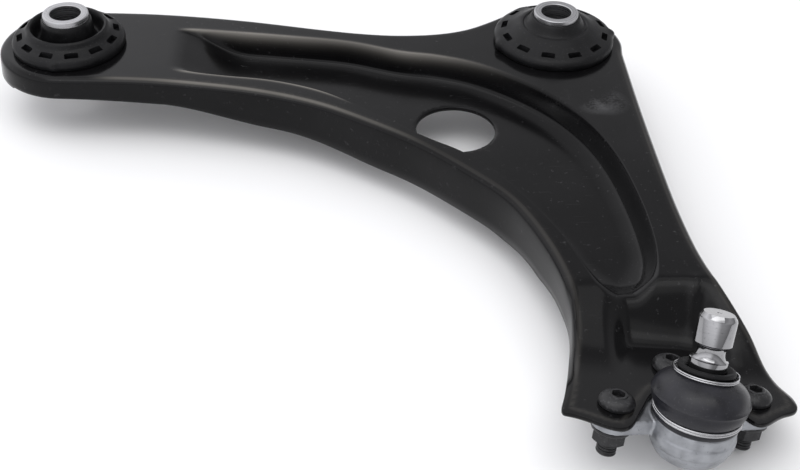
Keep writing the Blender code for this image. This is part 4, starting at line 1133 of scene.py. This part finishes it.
def upper_rubber_mesh(name, crown, slot_radius, slot_count, slot_turn, nubs):
    """The rubber above the sleeve's middle: flange, crown and collar, with its slots."""
    seat = [(RUBBER_BORE, SLEEVE_MIDDLE), (CAGE_INNER - 0.0003, SLEEVE_MIDDLE),
            (CAGE_INNER - 0.0003, FLANGE_SEAT), (crown[0][0], FLANGE_SEAT)]
    top = [(radius, FACE_Z + height) for radius, height in spline(crown, 0.0009)]
    body = lathe(name, seat + top, steps=144)
    half_width, half_depth = 0.0051, 0.0021
    corner = [(half_depth, half_width), (-half_depth, half_width * 0.93),
              (-half_depth, -half_width * 0.93), (half_depth, -half_width)]
    outline = rounded(corner, 0.0009, 3)
    cutter = scratch_object(prism(name + "_slot", outline, SLOT_FLOOR, FACE_Z + 0.02, 0.16))
    values = {"Cutter": cutter, "Count": slot_count, "Radius": slot_radius,
              "Material": FINISHES["bush_rubber"]}
    mesh = run_tree(body, slot_tree(), values, cutter)
    mesh.transform(Matrix.Rotation(slot_turn, 4, "Z"))
    for vertex in mesh.vertices:
        raise_nubs(vertex.co, nubs, crown[0][0] - 0.001)
    return mesh


def raise_nubs(place, nubs, start):
    """Swell the rim of a rubber flange outwards near the given angles."""
    radius = math.hypot(place.x, place.y)
    if radius <= start or place.z < FACE_Z:
        return
    angle = math.atan2(place.y, place.x)
    for nub, half_angle, height in nubs:
        away = math.remainder(angle - math.radians(nub), 2 * math.pi)
        swell = math.exp(-(away / math.radians(half_angle)) ** 2)
        share = min((radius - start) / 0.0025, 1.0) * swell
        place.x += height * share * math.cos(angle)
        place.y += height * share * math.sin(angle)
        place.z += height * 0.35 * share


def make_bush(side, centre, crown, slot_radius, cage_flange, slot_turn, nubs):
    """One bush: sleeve, cage, and rubber in two halves."""
    place = Matrix.Translation((*centre, 0.0))
    node = side + "_bush_"
    sleeve = add_piece(side + "_sleeve_tube", sleeve_mesh(node + "tube"),
                       FINISHES["sleeve_steel"], place)
    finish_piece(sleeve, side + "_sleeve", "sleeve_steel", node + "sleeve")
    cage = add_piece(side + "_outer_cage", cage_mesh(node + "shell", cage_flange),
                     FINISHES["cage_steel"], place)
    finish_piece(cage, "arm", "cage_steel", node + "cage")
    top = upper_rubber_mesh(node + "top", crown, slot_radius, SLOT_COUNT, slot_turn, nubs)
    halves = [(side + "_rubber_top", top, 0.0090, 0.0218),
              (side + "_rubber_foot", lower_rubber_mesh(node + "foot"), -0.0040, -0.0215)]
    for name, mesh, start, end in halves:
        piece = add_piece(name, mesh, FINISHES["bush_rubber"], place)
        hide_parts(node + "rubber")
        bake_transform(piece)


def make_bushes():
    """The rear bush and the front bush."""
    make_bush("rear", REAR_BUSH, REAR_CROWN, 0.0302, 0.0332, math.radians(12),
              [(-98, 4.0, 0.0013)])
    make_bush("front", FRONT_BUSH, FRONT_CROWN, 0.0327, 0.0363, math.radians(15),
              [(3, 4.5, 0.0017), (196, 6.0, 0.0017), (118, 7.0, 0.0008)])


def ear_outline():
    """Rounded triangle round the three bolts: the hull of their ears."""
    points = np.vstack([arc(place, EAR_RADIUS, 0, 360, 48)[:-1]
                        for place in BOLT_PLACES.values()])
    start = points[points[:, 0].argmin()]
    hull = [start]
    while True:
        here = hull[-1]
        best = points[0] if not np.allclose(points[0], here) else points[1]
        for other in points:
            side, way = best - here, other - here
            turn = side[0] * way[1] - side[1] * way[0]
            if turn < -1e-12:
                best = other
        if np.allclose(best, start):
            return hull
        hull.append(best)


def make_housing():
    """The cast cup with its ears, melted together so that their joins have fillets."""
    cup = lathe("cast_cup", rounded([
        (0.0, -0.0185), (0.0110, -0.0180), (0.0160, -0.0155), (0.0188, -0.0110),
        (0.0200, -0.0050), (0.0202, 0.0032), (0.0197, 0.0038), (0.0181, 0.0040),
        (0.0180, 0.0092), (0.0172, 0.0097), (0.0168, 0.0097), (0.0168, -0.0030),
        (0.0158, -0.0085), (0.0110, -0.0140), (0.0, -0.0155)], 0.0008), 120, closed=False)
    low = EAR_TOP - EAR_THICKNESS
    ears = prism("ears", ear_outline(), low, EAR_TOP)
    bore = prism("bore", polygon(96, 0.0184), low - 0.01, EAR_TOP + 0.01)
    ears = carved(ears, [("DIFFERENCE", bore)])
    collar = lathe("root", [(0.0186, low - 0.0030), (0.0201, low - 0.0026), (0.0207, low),
                            (0.0207, low + 0.0030), (0.0186, low + 0.0045)], 120)
    worked = scratch_object(cup)
    helpers = []
    for mesh in (ears, collar):
        tool = scratch_object(mesh)
        change = worked.modifiers.new("Join", "BOOLEAN")
        change.operation = "UNION"
        change.object = tool
        helpers.append(tool)
    melt = worked.modifiers.new("Melt", "REMESH")
    melt.mode = "VOXEL"
    melt.voxel_size = sizes().cast_voxel
    relax = worked.modifiers.new("Relax", "SMOOTH")
    relax.factor = 0.5
    relax.iterations = 5
    piece = add_piece("cast_housing", evaluated_mesh(worked, *helpers),
                      FINISHES["cast_aluminium"], HOUSING, sharp=180)
    finish_piece(piece, "arm", "cast_aluminium", "ball_joint_housing")


def make_seat():
    """The bearing shell, whose inner face is a band of a sphere round the ball."""
    hold = 0.0133
    angles = np.radians(np.arange(-80, 26, 5))
    inside = np.column_stack((hold * np.cos(angles), hold * np.sin(angles)))
    outline = [(0.0026, -0.0150), (0.0107, -0.0136), (0.0154, -0.0083), (0.0164, -0.0028),
               (0.0164, 0.0066), (0.0127, 0.0066)] + [tuple(p) for p in inside[::-1]]
    piece = add_piece("bearing_shell", lathe("bearing_shell", outline),
                      FINISHES["bearing_plastic"], HOUSING)
    finish_piece(piece, "arm", "bearing_plastic", "ball_seat")
    ring = [(0.0123, 0.0070), (0.0164, 0.0070), (0.0164, 0.0094), (0.0131, 0.0094)]
    piece = add_piece("closing_ring", lathe("closing_ring", rounded(ring, 0.0003)),
                      FINISHES["ring_steel"], HOUSING)
    finish_piece(piece, "arm", "ring_steel", "seat_ring")


def stud_outline():
    """Ball, neck, taper and pin with its bolt groove, from the foot to the end face."""
    radius = 0.0130
    angles = np.radians(np.arange(-50, 56, 5))
    ball = [(radius * math.cos(a), radius * math.sin(a)) for a in angles]
    upper = [(0.0069, 0.0125), (0.0069, 0.0150), (0.0080, 0.0196), (0.0086, 0.0218),
             (0.0090, 0.0235), (0.0090, 0.0312)]
    groove = [(0.0090 - 0.0023 * math.sin(math.radians(a)),
               0.0358 - 0.0040 * math.cos(math.radians(a))) for a in range(0, 181, 15)]
    end = [(0.0090, 0.0512), (0.0087, 0.0522), (0.0072, 0.0540), (0.0012, 0.0540),
           (0.0004, 0.0532)]
    return [(0.0, ball[0][1])] + ball + upper + groove + end + [(0.0, 0.0530)]


def make_stud():
    """The ball stud and the seal collar round it."""
    piece = add_piece("joint_stud", lathe("joint_stud", stud_outline(), 128, closed=False),
                      FINISHES["polished_steel"], STUD, sharp=28)
    finish_piece(piece, "stud", "polished_steel", "ball_stud")
    bore = 0.0092
    outline = [(bore, 0.0240), (0.0128, 0.0250), (0.0138, 0.0266), (0.0134, 0.0282),
               (0.0118, 0.0284), (bore, 0.0270)]
    piece = add_piece("seal_collar", lathe("seal_collar", rounded(outline, 0.0006)),
                      FINISHES["collar_rubber"], STUD)
    finish_piece(piece, "boot_top", "collar_rubber", "stud_collar")


# (radius, height, lean) of the boot's wall. Lean is 0 where it follows the housing
# and 1 where it follows the stud.
BOOT_LOWER_OUTSIDE = [(0.0184, 0.0040, 0.0), (0.0204, 0.0040, 0.0), (0.0205, 0.0062, 0.0),
                      (0.0197, 0.0074, 0.0), (0.0202, 0.0084, 0.0), (0.0216, 0.0102, 0.06),
                      (0.0226, 0.0124, 0.20), (0.0229, 0.0142, 0.35), (0.0233, 0.0148, 0.40)]
BOOT_UPPER_OUTSIDE = [(0.0233, 0.0148, 0.40), (0.0229, 0.0154, 0.44), (0.0226, 0.0166, 0.52),
                      (0.0215, 0.0188, 0.68), (0.0196, 0.0209, 0.84), (0.0170, 0.0226, 0.95),
                      (0.0150, 0.0237, 1.0), (0.0142, 0.0247, 1.0)]
BOOT_WALL = 0.0016
LEAN_SCALE = 0.01              # keeps the lean small beside the lengths it is splined with


def boot_half(name, outside, steps=128):
    """Half of the boot's wall, as a closed sheet leaned from the housing to the stud."""
    outside = np.array([(radius, height, lean * LEAN_SCALE) for radius, height, lean in outside])
    outside = spline(outside, 0.0006)
    outside[:, 2] /= LEAN_SCALE
    way = np.gradient(outside[:, :2], axis=0)
    way /= np.linalg.norm(way, axis=1)[:, None]
    inside = outside.copy()
    inside[:, :2] -= np.column_stack((way[:, 1], -way[:, 0])) * BOOT_WALL
    inside[:, 0] = np.maximum(inside[:, 0], 0.0115)
    outline = np.vstack((outside, inside[::-1]))
    mesh = lathe(name, [tuple(p[:2]) for p in outline], steps)
    leans = np.repeat(outline[:, 2], steps)
    for vertex, lean in zip(mesh.vertices, leans):
        angle = math.atan2(vertex.co.y, vertex.co.x)
        fold = 1.0 + 0.010 * math.sin(3 * angle + 0.7) * math.exp(-((lean - 0.55) / 0.3) ** 2)
        turn = (Matrix.Rotation(-STUD_LEAN * lean, 3, "X")
                @ Matrix.Rotation(STUD_SIDE_LEAN * lean, 3, "Y"))
        vertex.co = turn @ Vector((vertex.co.x * fold, vertex.co.y * fold, vertex.co.z))
    return mesh


def make_boot():
    """The dust boot, built in two halves, and its two clamp rings."""
    axis = HOUSING.col[2].xyz
    stud_axis = STUD.col[2].xyz
    halves = [("boot_lower", BOOT_LOWER_OUTSIDE, "arm", "boot", axis, 0.0066, 0.0120),
              ("boot_upper", BOOT_UPPER_OUTSIDE, "boot", "boot_top", stud_axis, 0.0166, 0.0232)]
    for name, outside, first, second, way, start, end in halves:
        mesh = boot_half(name, outside)
        piece = add_piece(name, mesh, FINISHES["boot_rubber"], HOUSING, sharp=50)
        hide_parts("dust_boot")
        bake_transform(piece)
    rings = [("lower_spring_ring", 0.0208, 0.00062, 0.00675, HOUSING, "arm", "lower_clamp_ring"),
             ("upper_spring_ring", 0.0151, 0.00045, 0.02455, STUD, "boot_top",
              "upper_clamp_ring")]
    tree = coil_tree()
    for name, radius, wire, height, place, body, node in rings:
        values = {"Radius": radius, "Wire": wire, "Turns": 2.05, "Height": wire * 4.0,
                  "Sides": 12, "Material": FINISHES["ring_steel"]}
        mesh = run_tree(bpy.data.meshes.new(name), tree, values)
        lift = Matrix.Translation((0.0, 0.0, height))
        piece = add_piece(name, mesh, FINISHES["ring_steel"], place @ lift)
        finish_piece(piece, body, "ring_steel", node)


HEAD_FOOT = PLATE_LEVEL + 0.0003
HEAD_TOP = HEAD_FOOT + 0.0055
THREAD_END = EAR_TOP - EAR_THICKNESS - 0.0165
NUT_HEIGHT = 0.0085
NUT_TOP = EAR_TOP - EAR_THICKNESS - 0.0003


def bolt_mesh(name):
    """Button head with its hexagon socket, over a plain shank."""
    dome = [(0.00875 * math.cos(math.radians(a)) ** 0.8,
             HEAD_FOOT + 0.0011 + 0.0043 * math.sin(math.radians(a))) for a in range(0, 65, 8)]
    outline = [(0.0, THREAD_END), (BOLT_RADIUS - 0.0012, THREAD_END),
               (BOLT_RADIUS - 0.0005, THREAD_END + 0.0008), (BOLT_RADIUS - 0.0005, NUT_TOP),
               (BOLT_RADIUS, NUT_TOP + 0.0004), (BOLT_RADIUS, HEAD_FOOT),
               (0.0086, HEAD_FOOT)] + dome + [(0.0042, HEAD_TOP), (0.0, HEAD_TOP)]
    body = lathe(name, outline, 96, closed=False)
    socket = prism(name + "_socket", polygon(6, 0.006 / math.sqrt(3), math.radians(12)),
                   HEAD_TOP - 0.0030, HEAD_TOP + 0.002)
    return carved(body, [("DIFFERENCE", socket)])


def nut_mesh(name):
    """Hexagon nut with chamfered corners on a round flange."""
    hexagon = prism(name, polygon(6, 0.015 / math.sqrt(3), 0.2), NUT_TOP - NUT_HEIGHT,
                    NUT_TOP - 0.0016)
    envelope = lathe(name + "_turned", [
        (0.0, NUT_TOP - NUT_HEIGHT - 0.0001), (0.0072, NUT_TOP - NUT_HEIGHT - 0.0001),
        (0.0087, NUT_TOP - NUT_HEIGHT + 0.0009),
        (0.0087, NUT_TOP - 0.0010), (0.0, NUT_TOP - 0.0010)], 96, closed=False)
    flange = lathe(name + "_flange", rounded([
        (0.0, NUT_TOP - 0.0030), (0.0080, NUT_TOP - 0.0030), (0.0098, NUT_TOP - 0.0016),
        (0.0100, NUT_TOP), (0.0, NUT_TOP)], 0.0004), 96, closed=False)
    bore = prism(name + "_bore", polygon(48, BOLT_RADIUS + 0.0003), NUT_TOP - 0.02,
                 NUT_TOP + 0.01)
    return carved(hexagon, [("INTERSECT", envelope), ("UNION", flange), ("DIFFERENCE", bore)])


def make_fasteners():
    """Three bolts with their threads, and three nuts."""
    tree = coil_tree()
    pitch = 0.0015
    low = THREAD_END + 0.0006
    for side, (x, y) in BOLT_PLACES.items():
        place = HOUSING @ Matrix.Translation((x, y, 0.0))
        bolt = add_piece(side + "_button_bolt", bolt_mesh(side + "_button_bolt"),
                         FINISHES["black_fastener"], place)
        finish_piece(bolt, "arm", "black_fastener", side + "_bolt")
        nut = add_piece(side + "_flange_nut", nut_mesh(side + "_flange_nut"),
                        FINISHES["black_fastener"], place)
        finish_piece(nut, "arm", "black_fastener", side + "_nut")
        height = NUT_TOP - NUT_HEIGHT + 0.0015 - low
        values = {"Radius": BOLT_RADIUS - 0.0006, "Wire": 0.00062, "Turns": height / pitch,
                  "Height": height, "Sides": 6, "Material": FINISHES["black_fastener"]}
        mesh = run_tree(bpy.data.meshes.new(side + "_thread"), tree, values)
        lift = Matrix.Translation((0.0, 0.0, low))
        thread = add_piece(side + "_thread", mesh, FINISHES["black_fastener"], place @ lift)
        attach(thread, "arm")


# ---------------------------------------------------------------- studio
FLOOR_REACH = 6.0
FLOOR_DROP = 0.0005
CAMERA_PLACE = Vector((0.1632, -0.7212, 0.398 + SLEEVE_TOP))
CAMERA_AIM = Vector((0.0572, 0.7772, -0.6266))
CAMERA_RIGHT = Vector((0.9983, -0.0526, 0.0258))


def make_camera():
    """The camera, from where it stands, where it looks and which way is its right."""
    data = bpy.data.cameras.new("Camera")
    data.lens = bpy.context.scene.arm_studio.lens
    data.clip_start = 0.01
    camera = bpy.data.objects.new("Camera", data)
    bpy.context.scene.collection.objects.link(camera)
    back = -CAMERA_AIM.normalized()
    right = (CAMERA_RIGHT - back * CAMERA_RIGHT.dot(back)).normalized()
    turn = Matrix((right, back.cross(right), back)).transposed()
    camera.matrix_world = Matrix.Translation(ARM + CAMERA_PLACE) @ turn.to_4x4()
    bpy.context.scene.camera = camera


def make_floor():
    """The pale floor, just under the arm."""
    bm = bmesh.new()
    bmesh.ops.create_grid(bm, x_segments=8, y_segments=8, size=FLOOR_REACH)
    mesh = bpy.data.meshes.new("floor")
    bm.to_mesh(mesh)
    bm.free()
    mesh.transform(Matrix.Translation((0.0, 0.0, -FLOOR_DROP)))
    floor = bpy.data.objects.new("floor", mesh)
    bpy.context.scene.collection.objects.link(floor)
    paint = Finish("pale_floor", Roughness=0.9)
    noise = paint.group("Surface grain", {"Fine Scale": 30.0, "Wave Scale": 2.0})
    paint.link(paint.mixed(noise.outputs["Mottle"], (0.86, 0.86, 0.86), (0.88, 0.88, 0.88)),
               paint.shader.inputs["Base Color"])
    mesh.materials.append(paint.material)


def make_light(name, power, size, place, target, colour=(1.0, 1.0, 1.0)):
    """A rectangular light turned to face its target."""
    data = bpy.data.lights.new(name, "AREA")
    data.shape = "RECTANGLE"
    data.size, data.size_y = size
    data.energy = power
    data.color = colour
    light = bpy.data.objects.new(name, data)
    bpy.context.scene.collection.objects.link(light)
    way = (Vector(target) - Vector(place)).to_track_quat("-Z", "Y").to_matrix().to_4x4()
    light.matrix_world = Matrix.Translation(place) @ way
    return light


def make_world():
    """A soft surround: bright at the horizon, dimmer above, brighter to the left."""
    world = bpy.data.worlds.new("Studio surround")
    bpy.context.scene.world = world
    world.use_nodes = True
    tree = world.node_tree
    background = tree.nodes["Background"]
    way = add_node(tree, "ShaderNodeTexCoord")
    split = add_node(tree, "ShaderNodeSeparateXYZ")
    ramp = add_node(tree, "ShaderNodeValToRGB")
    stops = [(0.0, 0.45), (0.30, 0.80), (0.52, 0.98), (0.75, 0.70), (1.0, 0.75)]
    ramp.color_ramp.elements[0].position = stops[0][0]
    ramp.color_ramp.elements[1].position = stops[-1][0]
    for position, _ in stops[1:-1]:
        ramp.color_ramp.elements.new(position)
    for element, (_, level) in zip(ramp.color_ramp.elements, stops):
        element.color = (level, level, level * 1.03, 1.0)
    side = add_node(tree, "ShaderNodeMapRange", {"From Min": -0.3, "From Max": 0.15,
                                                 "To Min": 1.7, "To Max": 0.75})
    tree.links.new(way.outputs["Generated"], split.inputs["Vector"])
    tree.links.new(split.outputs["Z"], ramp.inputs["Fac"])
    tree.links.new(split.outputs["X"], side.inputs["Value"])
    tree.links.new(ramp.outputs["Color"], background.inputs["Color"])
    tree.links.new(side.outputs["Result"], background.inputs["Strength"])


def make_stage():
    """The camera, the floor, the surroundings and the lights."""
    studio = bpy.context.scene.arm_studio
    make_camera()
    make_floor()
    make_world()
    centre = (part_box("arm_shell")[0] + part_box("arm_shell")[1]) / 2
    make_light("overhead_strip", studio.strip_power, (1.3, 0.35),
               (centre.x, centre.y - 0.25, 0.95), centre)
    make_light("floor_wash", studio.floor_power, (3.0, 3.0), (0.0, -0.3, 2.6), (0.0, 0.0, 0.0))
    bpy.context.scene.view_settings.view_transform = "Standard"


# ---------------------------------------------------------------- operators
class ARM_OT_shell(Operator):
    """Build the pressed steel shell with its collars and holes"""
    bl_idname = "control_arm.shell"
    bl_label = "Pressed Arm"

    def execute(self, context):
        make_finishes()
        make_arm_shell()
        return {"FINISHED"}


class ARM_OT_bushes(Operator):
    """Build both bushes: sleeves, outer cages and rubber"""
    bl_idname = "control_arm.bushes"
    bl_label = "Bushes"

    def execute(self, context):
        make_finishes()
        make_bushes()
        return {"FINISHED"}


class ARM_OT_housing(Operator):
    """Build the cast ball joint housing with its three ears"""
    bl_idname = "control_arm.housing"
    bl_label = "Joint Housing"

    def execute(self, context):
        make_finishes()
        make_housing()
        return {"FINISHED"}


class ARM_OT_seat(Operator):
    """Build the bearing shell round the ball and its closing ring"""
    bl_idname = "control_arm.seat"
    bl_label = "Bearing Shell"

    def execute(self, context):
        make_finishes()
        make_seat()
        return {"FINISHED"}


class ARM_OT_stud(Operator):
    """Build the ball stud and the seal collar on it"""
    bl_idname = "control_arm.stud"
    bl_label = "Ball Stud"

    def execute(self, context):
        make_finishes()
        make_stud()
        return {"FINISHED"}


class ARM_OT_boot(Operator):
    """Build the dust boot and its two clamp rings"""
    bl_idname = "control_arm.boot"
    bl_label = "Dust Boot"

    def execute(self, context):
        make_finishes()
        make_boot()
        return {"FINISHED"}


class ARM_OT_fasteners(Operator):
    """Build the three bolts with their threads, and the nuts"""
    bl_idname = "control_arm.fasteners"
    bl_label = "Bolts and Nuts"

    def execute(self, context):
        make_finishes()
        make_fasteners()
        return {"FINISHED"}


class ARM_OT_stage(Operator):
    """Set up the floor, the lights and the camera"""
    bl_idname = "control_arm.stage"
    bl_label = "Stage"

    def execute(self, context):
        make_finishes()
        make_stage()
        return {"FINISHED"}


OPERATORS = [ARM_OT_shell, ARM_OT_bushes, ARM_OT_housing, ARM_OT_seat,
             ARM_OT_stud, ARM_OT_boot, ARM_OT_fasteners, ARM_OT_stage]


class ARM_PT_panel(Panel):
    """Lists the control arm's settings and build steps."""
    bl_label = "Control Arm"
    bl_idname = "ARM_PT_panel"
    bl_space_type = "VIEW_3D"
    bl_region_type = "UI"
    bl_category = "Control Arm"

    def draw(self, context):
        for settings in (context.scene.arm_sizes, context.scene.arm_colours,
                         context.scene.arm_studio):
            box = self.layout.box()
            for key in settings.bl_rna.properties.keys():
                if key not in ("rna_type", "name"):
                    box.prop(settings, key)
        for operator in OPERATORS:
            self.layout.operator(operator.bl_idname)


GROUPS = {"arm_sizes": ArmSizes, "arm_colours": ArmColours, "arm_studio": StudioSettings}


def register():
    """Add the settings, the operators and the panel."""
    for key, group in GROUPS.items():
        bpy.utils.register_class(group)
        setattr(bpy.types.Scene, key, PointerProperty(type=group))
    for made in (*OPERATORS, ARM_PT_panel):
        bpy.utils.register_class(made)


def unregister():
    """Take the panel, the operators and the settings away."""
    for made in (ARM_PT_panel, *reversed(OPERATORS)):
        bpy.utils.unregister_class(made)
    for key, group in reversed(list(GROUPS.items())):
        delattr(bpy.types.Scene, key)
        bpy.utils.unregister_class(group)


def main():
    """Build each piece and the stage."""
    register()
    for operator in OPERATORS:
        step = getattr(bpy.ops.control_arm, operator.bl_idname.split(".")[1])
        if step() != {"FINISHED"}:
            raise RuntimeError(operator.bl_label + " was not built")


if __name__ == "__main__":
    main()
